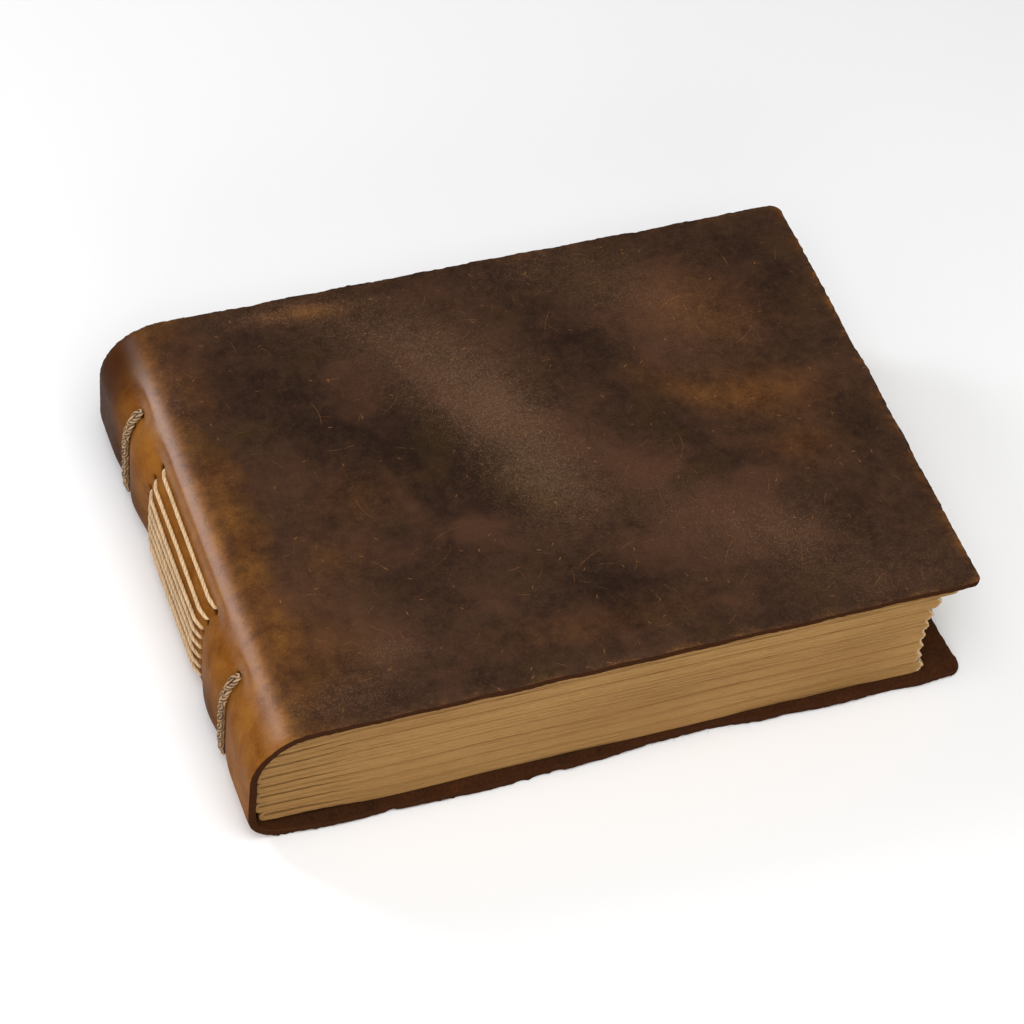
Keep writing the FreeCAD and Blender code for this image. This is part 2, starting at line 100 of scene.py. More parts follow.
def smooth(values: Array, low: float, high: float) -> Array:
    """Goes from 0 at low to 1 at high on the curve 3t^2 - 2t^3, and stays level outside."""
    t = np.clip((np.asarray(values, float) - low) / (high - low), 0, 1)
    return t * t * (3 - 2 * t)


def spots(*axes: Array | float) -> Array:
    """Coordinates side by side, each spread to the shape of the others."""
    return np.stack(np.broadcast_arrays(*axes), -1)


def unit(vectors: Array) -> Array:
    """Vectors in rows, brought to length 1; a row of noughts stays as it is."""
    return vectors / np.maximum(np.linalg.norm(vectors, axis=1), 1e-9)[:, None]


def run_lengths(path: Array) -> Array:
    """The distance along a path at each of its points."""
    return np.concatenate([[0], np.cumsum(np.linalg.norm(np.diff(path, axis=0), axis=1))])


def ripple(points: Array, length: float, seed: int, waves: int = 11) -> Array:
    """Smooth seeded unevenness, mostly within -1 to 1.

    The formula is the sum of sine waves of random heading and phase, each about one length long, divided by
    the root of their number.

    Args:
        points: Coordinates, the last axis being the dimensions.
        length: The usual distance from crest to crest.
        seed: Picks the waves.
        waves: How many waves are added.

    Returns:
        One value for each point.
    """
    draw = np.random.default_rng(seed)
    headings = draw.normal(size=(points.shape[-1], waves))
    headings /= np.linalg.norm(headings, axis=0)
    rates = 2 * math.pi / length * draw.uniform(0.6, 1.7, waves)
    phases = draw.uniform(0, 2 * math.pi, waves)
    return np.sin(points @ (headings * rates) + phases).sum(-1) / math.sqrt(waves)


def steps(marks: Sequence[float], pitches: Sequence[float]) -> Array:
    """Stations that pass through each mark, with about the given pitch between each mark and the next."""
    runs = [
        np.linspace(low, high, max(2, round((high - low) / pitch) + 1))[:-1]
        for low, high, pitch in zip(marks, marks[1:], pitches)
    ]
    return np.concatenate([*runs, [marks[-1]]])


@dataclass
class Patchwork:
    """Vertices, faces and point attributes that add up to one mesh."""

    points: list[Array] = field(default_factory=list)
    faces: list[Array] = field(default_factory=list)
    marks: list[dict[str, Array]] = field(default_factory=list)
    count: int = 0

    def add(self, points: Array, faces: Array, **marks: Array) -> None:
        """Adds a closed shell.

        Args:
            points: Its vertices, in millimetres.
            faces: Quads, as rows of four vertex numbers; a row that names a vertex twice is a triangle.
            marks: Point attributes, a value or a vector for each vertex.
        """
        points = points.reshape(-1, 3)
        self.points.append(points)
        self.faces.append(faces + self.count)
        self.marks.append({
            name: np.broadcast_to(value, (len(points),) + np.shape(value)[1:])
            for name, value in marks.items()
        })
        self.count += len(points)

    def build(self, name: str, finish: bpy.types.Material, normals: Array | None = None) -> bpy.types.Object:
        """Makes the object and puts its finish on."""
        marks = {mark: np.concatenate([part[mark] for part in self.marks]) for mark in self.marks[0]}
        piece = make_object(
            name, np.concatenate(self.points), np.concatenate(self.faces), finish, marks, normals)
        log.info("%s: %d faces", name, len(piece.data.polygons))
        return piece


def make_object(
    name: str, points: Array, quads: Array, finish: bpy.types.Material, marks: dict[str, Array],
    normals: Array | None = None,
) -> bpy.types.Object:
    """Puts vertices and faces into a smooth-shaded mesh object at the origin.

    Args:
        name: The piece's name.
        points: Vertices in millimetres.
        quads: Rows of four vertex numbers; where two of a row are the same vertex, the face is a triangle.
        finish: Its material.
        marks: Point attributes by name, one number or one vector for each vertex.
        normals: A normal for each corner of quads, in the same order, or None for the mesh's own.

    Returns:
        The new object.
    """
    keep = quads != np.roll(quads, 1, axis=1)
    whole = keep.sum(1) > 2
    quads, keep = quads[whole], keep[whole]
    sizes = keep.sum(1)
    mesh = bpy.data.meshes.new(name)
    mesh.vertices.add(len(points))
    mesh.vertices.foreach_set("co", (points * METRES).astype(np.float32).ravel())
    mesh.loops.add(int(sizes.sum()))
    mesh.loops.foreach_set("vertex_index", quads[keep].astype(np.int32))
    mesh.polygons.add(len(quads))
    mesh.polygons.foreach_set("loop_start", (np.cumsum(sizes) - sizes).astype(np.int32))
    mesh.polygons.foreach_set("use_smooth", np.ones(len(quads), bool))
    mesh.update(calc_edges=True)
    for mark, values in marks.items():
        kind, key = ("FLOAT", "value") if values.ndim == 1 else ("FLOAT_VECTOR", "vector")
        mesh.attributes.new(mark, kind, "POINT").data.foreach_set(key, values.astype(np.float32).ravel())
    if normals is not None:
        mesh.normals_split_custom_set(normals[whole][keep])
    mesh.materials.append(finish)
    piece = bpy.data.objects.new(name, mesh)
    bpy.context.scene.collection.objects.link(piece)
    return piece


def wrap_faces(around: int, along: int, closed: bool = True) -> Array:
    """Quads of a grid numbered [along, around], rolled into a tube if closed."""
    i = np.arange(around if closed else around - 1)
    j = np.arange(along - 1)[:, None]
    here, nxt = j * around + i, j * around + (i + 1) % around
    return np.stack([here, nxt, nxt + around, here + around], -1).reshape(-1, 4)


def fold_cap(around: int, base: int) -> Array:
    """Quads across a ring whose point i faces point around - 1 - i, such as the section of a sheet."""
    i = np.arange(around // 2 - 1)
    return np.stack([base + i, base + i + 1, base + around - 2 - i, base + around - 1 - i], -1)


def path_frames(path: Array) -> tuple[Array, Array, Array]:
    """Tangents and two cross directions along a path, carried on without twist from point to point."""
    ahead = np.gradient(path, axis=0)
    ahead /= np.linalg.norm(ahead, axis=1)[:, None]
    # A fixed direction that none of the cords follows for long serves as the reference.
    aside = np.cross(ahead, np.array([0.31, 0.12, 0.94]))
    aside /= np.linalg.norm(aside, axis=1)[:, None]
    return ahead, aside, np.cross(ahead, aside)


def even_path(corners: Array, pitch: float, rounding: int, closed: bool = False) -> Array:
    """A smooth path through rough corners.

    The corners are joined by straight runs at an even pitch, and then each point is averaged with its
    neighbours, rounding times, with weights of a quarter, a half and a quarter.

    Args:
        corners: The corners, in millimetres.
        pitch: The distance between points.
        rounding: How often the points are averaged.
        closed: Whether the end joins the start.

    Returns:
        The path's points.
    """
    if closed:
        corners = np.vstack([corners, corners[:1]])
    run = run_lengths(corners)
    at = np.linspace(0, run[-1], max(8, round(run[-1] / pitch)) + 1)
    path = np.stack([np.interp(at, run, corners[:, axis]) for axis in range(3)], 1)
    if closed:
        path = path[:-1]
    for _ in range(rounding):
        before, after = np.roll(path, 1, 0), np.roll(path, -1, 0)
        if not closed:
            before[0], after[-1] = path[0], path[-1]
        path = before / 4 + path / 2 + after / 4
    return path


# ---------------------------------------------------------------- shader wiring


@dataclass(frozen=True)
class Value:
    """A shader number that Python's operators work on; each adds a Math node."""

    wiring: "Wiring"
    socket: Any

    def _with(self, operation: str, other: "Value | float", turned: bool = False) -> "Value":
        """Adds the Math node for one operation, with its sides swapped if turned."""
        pair = (other, self) if turned else (self, other)
        return self.wiring.number("ShaderNodeMath", {"operation": operation}, {0: pair[0], 1: pair[1]})

    def __add__(self, other: "Value | float") -> "Value":
        """self + other."""
        return self._with("ADD", other)

    __radd__ = __add__

    def __sub__(self, other: "Value | float") -> "Value":
        """self - other."""
        return self._with("SUBTRACT", other)

    def __rsub__(self, other: float) -> "Value":
        """other - self."""
        return self._with("SUBTRACT", other, True)

    def __mul__(self, other: "Value | float") -> "Value":
        """self * other."""
        return self._with("MULTIPLY", other)

    __rmul__ = __mul__

    def __truediv__(self, other: "Value | float") -> "Value":
        """self / other."""
        return self._with("DIVIDE", other)

    def __rtruediv__(self, other: float) -> "Value":
        """other / self."""
        return self._with("DIVIDE", other, True)

    def __pow__(self, other: "Value | float") -> "Value":
        """self to the power of other."""
        return self._with("POWER", other)

    def __abs__(self) -> "Value":
        """Its size without its sign."""
        return self._with("ABSOLUTE", 0.0)

    def least(self, other: "Value | float") -> "Value":
        """The smaller of the two."""
        return self._with("MINIMUM", other)

    def most(self, other: "Value | float") -> "Value":
        """The larger of the two."""
        return self._with("MAXIMUM", other)

    def wave(self) -> "Value":
        """Its sine."""
        return self._with("SINE", 0.0)

    def cowave(self) -> "Value":
        """Its cosine."""
        return self._with("COSINE", 0.0)

    def step(self, low: float, high: float) -> "Value":
        """0 below low, 1 above high, and a smooth step between; the other way round if high is below low."""
        falls = high < low
        low, high = (high, low) if falls else (low, high)
        return self.wiring.number(
            "ShaderNodeMapRange", {"interpolation_type": "SMOOTHSTEP", "clamp": True},
            {"Value": self, "From Min": low, "From Max": high,
             "To Min": float(falls), "To Max": float(not falls)},
        )


class Wiring:
    """One material's node tree, and the short ways of adding to it."""

    def __init__(self, name: str) -> None:
        """Starts an empty material of that name."""
        self.material = bpy.data.materials.new(name)
        self.material.use_nodes = True
        self.tree = self.material.node_tree
        self.tree.nodes.clear()

    def node(self, kind: str, settings: dict[str, Any], inputs: dict[Any, Any]) -> bpy.types.Node:
        """Adds any node.

        Args:
            kind: The node's type.
            settings: Its own settings, set before its sockets.
            inputs: A number, colour, vector, Value or socket for each named or numbered input.

        Returns:
            The node.
        """
        made = self.tree.nodes.new(kind)
        for name, setting in settings.items():
            if name == "stops":
                ramp = made.color_ramp
                while len(ramp.elements) < len(setting):
                    ramp.elements.new(0.5)
                for element, (place, colour) in zip(ramp.elements, setting):
                    element.position, element.color = place, (*colour, 1.0)
            else:
                setattr(made, name, setting)
        for name, given in inputs.items():
            socket = made.inputs[name]
            given = given.socket if isinstance(given, Value) else given
            if isinstance(given, bpy.types.NodeSocket):
                self.tree.links.new(given, socket)
            elif isinstance(given, tuple) and socket.type == "RGBA":
                socket.default_value = (*given, 1.0)[:4]
            else:
                socket.default_value = given
        return made

    def number(self, kind: str, settings: dict[str, Any], inputs: dict[Any, Any], output: Any = 0) -> Value:
        """Adds a node and wraps one of its outputs as a Value."""
        return Value(self, self.node(kind, settings, inputs).outputs[output])

    def mark(self, name: str) -> Value:
        """A number that the mesh carries at each point."""
        return self.number("ShaderNodeAttribute", {"attribute_name": name}, {}, "Fac")

    def mark_vector(self, name: str) -> bpy.types.NodeSocket:
        """A vector that the mesh carries at each point."""
        return self.node("ShaderNodeAttribute", {"attribute_name": name}, {}).outputs["Vector"]

    def parts(self, vector: Any) -> tuple[Value, Value, Value]:
        """The three numbers of a vector."""
        split = self.node("ShaderNodeSeparateXYZ", {}, {0: vector})
        return tuple(Value(self, socket) for socket in split.outputs)

    def vector(self, x: Any, y: Any, z: Any = 0.0) -> bpy.types.NodeSocket:
        """A vector from three numbers."""
        return self.node("ShaderNodeCombineXYZ", {}, {0: x, 1: y, 2: z}).outputs[0]

    def stretched(self, vector: Any, scale: Sequence[float], shift: Sequence[float] = (0, 0, 0)) -> Any:
        """A vector with each axis scaled, and then moved."""
        inputs = {0: vector, 1: tuple(scale), 2: tuple(shift)}
        return self.node("ShaderNodeVectorMath", {"operation": "MULTIPLY_ADD"}, inputs).outputs[0]

    def moved(self, vector: Any, *shift: float) -> Any:
        """A vector moved, so that one noise gives another picture."""
        return self.stretched(vector, (1, 1, 1), shift)

    def clouds(self, vector: Any, size: float, detail: float = 4.0, roughness: float = 0.55,
               bend: float = 0.0) -> Value:
        """Noise whose blotches are about one size across, centred on 0.5."""
        return self.number(
            "ShaderNodeTexNoise", {"noise_dimensions": "3D"},
            {"Vector": vector, "Scale": 1 / size, "Detail": detail, "Roughness": roughness,
             "Distortion": bend},
            "Fac",
        )

    def blend(self, factor: Any, below: Any, above: Any, how: str = "MIX") -> bpy.types.NodeSocket:
        """Mixes two colours by a factor from 0 to 1."""
        return self.node(
            "ShaderNodeMix", {"data_type": "RGBA", "blend_type": how, "clamp_factor": True},
            {0: factor, 6: below, 7: above},
        ).outputs[2]

    def relief(self, height: Value, depth: float, below: Any = None, strength: float = 1.0) -> Any:
        """Bumps the surface by a height of 0 to 1 that stands for a depth in millimetres."""
        inputs = {"Strength": strength, "Distance": depth * METRES, "Height": height}
        if below is not None:
            inputs["Normal"] = below
        return self.node("ShaderNodeBump", {}, inputs).outputs[0]

    def coat(self, **inputs: Any) -> bpy.types.Material:
        """Ends the tree in a Principled shader with those inputs, and returns the material."""
        named = {
            name.replace("_", " ").title().replace("Ior", "IOR"): given for name, given in inputs.items()}
        shader = self.node("ShaderNodeBsdfPrincipled", {}, named)
        self.node("ShaderNodeOutputMaterial", {}, {0: shader.outputs[0]})
        return self.material


# ---------------------------------------------------------------- finishes


@dataclass(frozen=True)
class LeatherFinish:
    """Oiled, waxed hide: a rubbed grain side, a raw cut edge and a napped flesh side."""

    deep: Colour = srgb(39, 26, 19)
    brown: Colour = srgb(67, 46, 33)
    red: Colour = srgb(82, 54, 39)
    olive: Colour = srgb(66, 48, 25)
    bloom: Colour = srgb(108, 83, 62)
    tan: Colour = srgb(112, 62, 16)
    honey: Colour = srgb(148, 96, 38)
    # Umber: the rubbed tan where dusk darkens it, towards the spine's head and, as painted shade, on its low
    # wall.
    umber: Colour = srgb(66, 33, 7)
    scratch: Colour = srgb(178, 120, 66)
    craze: Colour = srgb(150, 118, 92)
    edge: Colour = srgb(84, 47, 23)
    flesh: Colour = srgb(84, 48, 24)
    # Near-black: painted shade inside the punched holes.
    pit: Colour = srgb(16, 9, 6)

    def scratches(self, w: Wiring, place: Any, size: float, length: float, width: float, bow: float,
                  share: float, shift: float) -> Value:
        """Thin arcs, one at most to a cell of a Voronoi net.

        In each cell the place is measured from the cell's own point and turned by a random angle. The arc is
        where the distance across, less bow times the square of the distance along, is under the width.

        Args:
            w: The material's wiring.
            place: Where on the hide, in millimetres.
            size: The cells' size.
            length: Half an arc's length.
            width: Half its width.
            bow: How much it curves.
            share: The part of the cells that have one.
            shift: Moves the net, so that two nets differ.

        Returns:
            1 on an arc and 0 off it.
        """
        moved = w.stretched(place, (1, 1, 0), (shift, shift * 0.7, 0))
        net = w.node(
            "ShaderNodeTexVoronoi", {"voronoi_dimensions": "2D"}, {"Vector": moved, "Scale": 1 / size})
        here, there = w.parts(moved), w.parts(net.outputs["Position"])
        chance, angle, bend = w.parts(net.outputs["Color"])
        # The node gives its point in the net's own scale, so both are brought to millimetres.
        right, up = here[0] - there[0], here[1] - there[1]
        turn = angle * (2 * math.pi)
        along = right * turn.cowave() + up * turn.wave()
        across = up * turn.cowave() - right * turn.wave()
        line = abs(across - along * along * (bend - 0.5) * bow).step(width, width * 0.3)
        return line * abs(along).step(length, length * 0.5) * chance.step(1 - share, 1.02 - share)

    def dress(self) -> bpy.types.Material:
        """Makes the material."""
        w = Wiring("worn_hide")
        place = w.mark_vector("hide")
        flesh, rim, pit = w.mark("flesh"), w.mark("rim"), w.mark("pit")
        bloom, tan, dusk, warmth = w.mark("bloom"), w.mark("tan"), w.mark("dusk"), w.mark("warmth")

        broad = w.clouds(place, 46, 3, 0.5, 0.3)
        blotch = w.clouds(w.moved(place, 31, 7, 2), 15, 5, 0.62, 0.4)
        mottle = w.clouds(w.moved(place, 3, 71, 9), 4.2, 5, 0.68)
        speck = w.clouds(w.moved(place, 13, 5, 50), 0.9, 3, 0.7)
        dust = w.clouds(w.moved(place, 8, 90, 20), 0.34, 2, 0.6)

        tone = (broad - 0.5) * 0.9 + (blotch - 0.5) * 0.9 + (mottle - 0.5) * 0.8 + (speck - 0.5) * 0.9
        # Dusk darkens the body towards deep; on the spine's low wall this is painted shade.
        body = w.blend((0.62 + tone - dusk * 0.62).step(0.0, 1.0), self.deep, self.brown)
        drift = w.clouds(w.moved(place, 90, 40, 5), 30, 4, 0.5, 0.5)
        body = w.blend((drift + warmth * 0.35).step(0.48, 0.86) * 0.7, body, self.red)
        body = w.blend(drift.step(0.46, 0.22) * 0.55, body, self.olive)

        haze = (bloom * 1.1 + (mottle - 0.5) * 0.8 * bloom + (speck - 0.5) * bloom * 1.3).step(0.05, 1.3)
        body = w.blend(haze * 0.3, body, self.bloom)
        flecks = dust.step(0.56, 0.68) * mottle.step(0.4, 0.6) * (0.34 + bloom * 1.1).least(1.0)
        body = w.blend(flecks * 0.65, body, self.bloom)
        uneven = 1 + (mottle - 0.5) * 1.5 + (blotch - 0.5) * 1.3 + (speck - 0.5) * 0.8 + (dust - 0.5) * 1.4
        worn = (tan * uneven).least(1.0).most(0.0)
        golden = ((blotch - 0.5) * 1.3 + 0.5 + (speck - 0.5) * 0.5).step(0.1, 0.9)
        rubbed = w.blend(golden, self.tan, self.honey)
        # Where dusk is, the rubbed tan turns umber; on the spine's low wall this is painted shade.
        rubbed = w.blend((dusk * 1.1).least(1.0), rubbed, self.umber)
        body = w.blend(worn * (1 - dusk * 0.2), body, rubbed)

        long_arcs = self.scratches(w, place, 27, 8, 0.17, 0.09, 0.35, 5)
        ticks = self.scratches(w, place, 7.5, 1.1, 0.24, 0.3, 0.22, 40)
        hairs = self.scratches(w, place, 12, 4.0, 0.13, 0.14, 0.5, 77)
        marks = (long_arcs * 0.45 + ticks * 0.75 + hairs * 0.42) * speck.step(0.3, 0.55)
        marks = marks * blotch.step(0.34, 0.6) * (1 - worn * 0.7)
        body = w.blend(marks.least(1.0) * 0.7, body, self.scratch)
        crazed = self.scratches(w, place, 2.1, 1.2, 0.09, 0.3, 0.8, 140).most(
            self.scratches(w, place, 1.4, 0.8, 0.08, 0.4, 0.8, 230))
        body = w.blend((crazed * (bloom * 1.2 + 0.05) * speck.step(0.25, 0.7)).least(0.5), body, self.craze)
        # The punched holes are painted near-black: painted shade.
        body = w.blend(pit, body, self.pit)

        strands = w.clouds(w.stretched(place, (1, 2.6, 3)), 0.8, 3, 0.7)
        nap = w.clouds(w.stretched(place, (1.6, 1, 1)), 1.3, 5, 0.75)
        cut = w.blend((strands * 0.8 + mottle * 0.4 - 0.1).step(0.2, 0.85), self.deep, self.edge)
        inside = w.blend((nap * 0.8 + blotch * 0.4 - 0.1).step(0.2, 0.85), self.deep, self.flesh)
        colour = w.blend(flesh, w.blend(rim, body, cut), inside)

        shine = 0.5 + (mottle - 0.5) * 0.3 + (speck - 0.5) * 0.2 + bloom * 0.1 - worn * 0.06
        rough = (shine + rim * 0.35 + flesh * 0.4).least(0.95)
        grain = w.clouds(w.stretched(place, (1.15, 1, 1)), 0.62, 4, 0.6, 0.6)
        pores = w.number(
            "ShaderNodeTexVoronoi", {"voronoi_dimensions": "3D", "feature": "F1"},
            {"Vector": place, "Scale": 1 / 0.85}, "Distance",
        )
        bumps = grain * 0.55 + pores * 0.3 + mottle * 0.5 - marks * 0.35
        rugged = strands * 0.9 + mottle * 0.5
        raw = (rim + flesh).least(1.0)
        normal = w.relief(bumps * (1 - raw) + (rugged * rim + nap * flesh) * 1.6, 0.22, None, 0.9)
        normal = w.relief(blotch, 0.5, normal, 0.5)
        wax = w.mark("polish") * (0.75 + (mottle - 0.5) * 0.3) * (1 - raw)
        return w.coat(base_color=colour, roughness=rough, normal=normal, specular_ior_level=0.015,
                      coat_weight=wax, coat_roughness=0.34)


@dataclass(frozen=True)
class PaperFinish:
    """Thick tinted cotton paper with a soft, fibrous surface and paler torn edges."""

    warm: Colour = srgb(169, 131, 79)
    shade: Colour = srgb(141, 104, 59)
    torn: Colour = srgb(214, 194, 158)

    def dress(self) -> bpy.types.Material:
        """Makes the material."""
        w = Wiring("cotton_paper")
        place = w.mark_vector("leaf")
        cut, age = w.mark("cut"), w.mark("age")
        pulp = w.clouds(place, 7, 5, 0.6)
        fibre = w.clouds(w.stretched(place, (0.35, 1, 2.2)), 0.8, 4, 0.7)
        tone = (pulp - 0.5) * 0.5 + (fibre - 0.5) * 0.5
        colour = w.blend((0.62 + tone - age * 0.75).step(0.0, 1.0), self.shade, self.warm)
        pale = (cut * 0.9 + (fibre - 0.5) * 0.9 * cut).step(0.25, 1.1)
        colour = w.blend(pale * 0.8, colour, self.torn)
        normal = w.relief(fibre * 0.7 + pulp * 0.4, 0.12, None, 0.6)
        return w.coat(base_color=colour, roughness=0.86, normal=normal, specular_ior_level=0.2)


@dataclass(frozen=True)
class ThreadFinish:
    """Waxed linen thread, with painted shade between its strands (hollow is the tone there) and darker where
    it was handled.
    """

    name: str
    light: Colour
    dark: Colour
    painted_groove_shade: float

    def dress(self) -> bpy.types.Material:
        """Makes the material."""
        w = Wiring(self.name)
        run, ply = w.mark_vector("run"), w.mark("ply")
        lint = w.clouds(w.stretched(run, (1, 3, 3)), 0.7, 4, 0.7)
        wear = w.clouds(run, 9, 3, 0.6)
        # Painted shade: the tone falls to hollow in the grooves between the strands, where ply is 0.
        tone = self.painted_groove_shade + ply * (0.8 - self.painted_groove_shade) + (lint - 0.5) * 1.2 + (wear - 0.5) * 0.7
        colour = w.blend(tone.step(0.0, 1.0), self.dark, self.light)
        normal = w.relief(lint, 0.16, None, 0.7)
        return w.coat(base_color=colour, roughness=0.72, normal=normal, specular_ior_level=0.3)


@dataclass(frozen=True)
class Finishes:
    """Every material of the album, made once."""

    leather: bpy.types.Material
    paper: bpy.types.Material
    stitch: bpy.types.Material
    braid: bpy.types.Material

    @classmethod
    def make(cls) -> "Finishes":
        """Makes them all."""
        return cls(
            LeatherFinish().dress(),
            PaperFinish().dress(),
            ThreadFinish(
                "linen_stitch", light=srgb(230, 198, 154), dark=srgb(142, 108, 72), painted_groove_shade=0.4).dress(),
            # The braid's grooves fall almost to its dark colour: painted shade between its strands.
            ThreadFinish(
                "linen_braid", light=srgb(206, 168, 124), dark=srgb(50, 32, 18), painted_groove_shade=0.05).dress(),
        )


# ---------------------------------------------------------------- the album's sizes


@dataclass(frozen=True)
class Spine:
    """The hide's outside line, from the back fore edge round the spine to the front fore edge.

    A distance s runs along it: level under the back cover, round the bottom shoulder, up the spine's wall,
    round the top shoulder and level over the front cover.
    """

    left: float
    back_edge: float
    front_edge: float
    height: float
    half_width: float
    thickness: float = 3.4
    top_radius: float = 26.0
    bottom_radius: float = 15.0

    @classmethod
    def read(cls) -> "Spine":
        """Takes the sizes from the frame's own boxes, in millimetres."""
        wall, back, front = (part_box(name) for name in ("spine_strip_5", "back_cover", "front_cover"))
        return cls(wall[0].x / METRES, back[1].x / METRES, front[1].x / METRES, front[1].z / METRES,
                   front[1].y / METRES)

    @property
    def turns(self) -> tuple[float, float, float, float, float]:
        """Where the bottom bend, the wall, the top bend and the top level start, and the whole length."""
        first = self.back_edge - self.left - self.bottom_radius
        second = first + self.bottom_radius * math.pi / 2
        third = second + self.height - self.top_radius - self.bottom_radius
        fourth = third + self.top_radius * math.pi / 2
        return first, second, third, fourth, fourth + self.front_edge - self.left - self.top_radius

    def line(self, s: Array) -> tuple[Array, Array]:
        """Points of the outside line and its outward directions, both as X and Z.

        On a bend of radius r the angle is the distance into the bend over r, and the point is the bend's
        centre plus r times the outward direction.
        """
        first, second, third, fourth, _ = self.turns
        low, high = self.bottom_radius, self.top_radius
        under = (s - first) / low
        over = (s - third) / high
        conditions = [s < first, s < second, s < third, s < fourth]
        x = np.select(conditions, [
            self.back_edge - s, self.left + low - low * np.sin(under), self.left + 0 * s,
            self.left + high - high * np.cos(over)], self.left + high + (s - fourth))
        z = np.select(conditions, [
            0 * s, low - low * np.cos(under), low + (s - second),
            self.height - high + high * np.sin(over)], self.height + 0 * s)
        out_x = np.select(conditions, [0 * s, -np.sin(under), 0 * s - 1, -np.cos(over)], 0)
        out_z = np.select(conditions, [0 * s - 1, -np.cos(under), 0 * s, np.sin(over)], 1)
        return np.stack([x, z], -1), np.stack([out_x, out_z], -1)

    def at_height(self, z: float) -> float:
        """The distance s of a height on the spine."""
        first, second, third, _, _ = self.turns
        if z < self.bottom_radius:
            return first + self.bottom_radius * math.acos(1 - z / self.bottom_radius)
        if z > self.height - self.top_radius:
            return third + self.top_radius * math.asin((z - self.height + self.top_radius) / self.top_radius)
        return second + z - self.bottom_radius

    def point(self, s: float, inward: float = 0.0) -> tuple[float, float, float]:
        """A point on the outside line, or under it, in metres."""
        place, out = self.line(np.array([s]))
        x, z = (place - out * inward)[0] * METRES
        return float(x), 0.0, float(z)


@dataclass(frozen=True)
class Sewing:
    """Where the thread goes: the heights of the gatherings' folds and the stations along the spine."""

    fold_x: tuple[float, ...]
    heights: tuple[float, ...]
    head_link: float = 71.5
    head_row: float = 40.5
    tail_row: float = -33.5
    tail_link: float = -68.5
    tuck_depths: tuple[float, ...] = (2.3, 2.9, 2.9, 2.3)
    tuck_widths: tuple[float, ...] = (8.0, 10.0, 10.0, 8.0)
    tuck_between: float = 2.2

    @classmethod
    def read(cls) -> "Sewing":
        """Takes each fold's height and depth from the frame's threads, whose inner run lies in the fold."""
        folds, heights = [], []
        for number in range(1, GATHERINGS + 1):
            low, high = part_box(f"sewing_thread_{number}")
            folds.append((high.x - THREAD_RADIUS * METRES) / METRES)
            heights.append((low.z + high.z) / 2 / METRES)
        return cls(tuple(folds), tuple(heights))

    def tuck(self, y: Array) -> Array:
        """How far the tight thread draws the spine in at each place: a bell at each station, and less between
        the ends of the long stitches."""
        drawn = 0 * y
        for station, depth, width in zip(self.stations, self.tuck_depths, self.tuck_widths):
            drawn = np.maximum(drawn, depth * np.exp(-(((y - station) / width) ** 2)))
        between = smooth(y, self.tail_row - 3, self.tail_row + 8) * (
            1 - smooth(y, self.head_row - 8, self.head_row + 3))
        return np.maximum(drawn, self.tuck_between * between)

    @property
    def stations(self) -> tuple[float, float, float, float]:
        """All four stations, from the head to the tail."""
        return self.head_link, self.head_row, self.tail_row, self.tail_link


# ---------------------------------------------------------------- the hide


@dataclass(frozen=True)
class Patch:
    """A soft oval patch of wear on the front, placed from the spine's outer face and the middle of its
    height."""

    x: float
    y: float
    long: float
    wide: float
    tilt: float
    strength: float

    def cover(self, x: Array, y: Array) -> Array:
        """Its strength at each place: a bell over the turned and scaled distance from its middle."""
        angle = math.radians(self.tilt)
        along = (x - self.x) * math.cos(angle) + (y - self.y) * math.sin(angle)
        across = (y - self.y) * math.cos(angle) - (x - self.x) * math.sin(angle)
        return self.strength * np.exp(-((along / self.long) ** 2) - (across / self.wide) ** 2)


BLOOM_PATCHES = (
    Patch(110, 82, 30, 16, -30, 0.35), Patch(134, 48, 34, 22, -55, 0.55), Patch(148, 8, 38, 20, -75, 0.75),
    Patch(152, -16, 20, 14, -60, 0.35), Patch(215, 82, 30, 18, -35, 0.3), Patch(240, 55, 30, 22, -40, 0.22),
    Patch(236, -66, 26, 18, -30, 0.45), Patch(200, -40, 30, 22, -50, 0.25), Patch(34, -96, 30, 10, 5, 0.42),
    Patch(66, -78, 14, 7, 0, 0.4), Patch(78, 100, 26, 5, -4, 0.75), Patch(20, 66, 8, 22, 0, 0.35),
    Patch(270, -96, 30, 12, 0, 0.25), Patch(180, 100, 30, 8, 0, 0.22),
)
TAN_PATCHES = (
    Patch(24, -25, 8, 50, 0, 0.16), Patch(30, 10, 12, 18, 20, 0.08), Patch(56, -30, 12, 12, 0, 0.12),
    Patch(36, -72, 20, 26, 10, 0.14), Patch(255, 8, 24, 12, -10, 0.28), Patch(248, 58, 26, 18, -30, 0.16),
    Patch(222, 20, 22, 8, -35, 0.16), Patch(258, -22, 14, 10, 0, 0.22), Patch(84, 99, 16, 4, -4, 0.3),
    Patch(76, -2, 20, 14, 0, 0.1), Patch(150, -88, 40, 8, 0, 0.1),
)
DUSK_PATCHES = (
    Patch(74, 50, 36, 26, -60, 0.62), Patch(108, 10, 28, 26, -50, 0.6), Patch(120, -22, 22, 16, 0, 0.5),
    Patch(46, 70, 18, 22, -70, 0.5), Patch(188, 62, 34, 12, -60, 0.6), Patch(204, 8, 26, 12, -50, 0.55),
    Patch(278, 72, 22, 26, -60, 0.55), Patch(244, -24, 22, 14, 0, 0.45), Patch(158, -70, 32, 20, 0, 0.5),
    Patch(90, -40, 24, 18, 0, 0.3), Patch(268, -60, 18, 18, 0, 0.3), Patch(120, -100, 60, 8, 0, 0.25),
    Patch(284, -14, 14, 20, 0, 0.35),
)
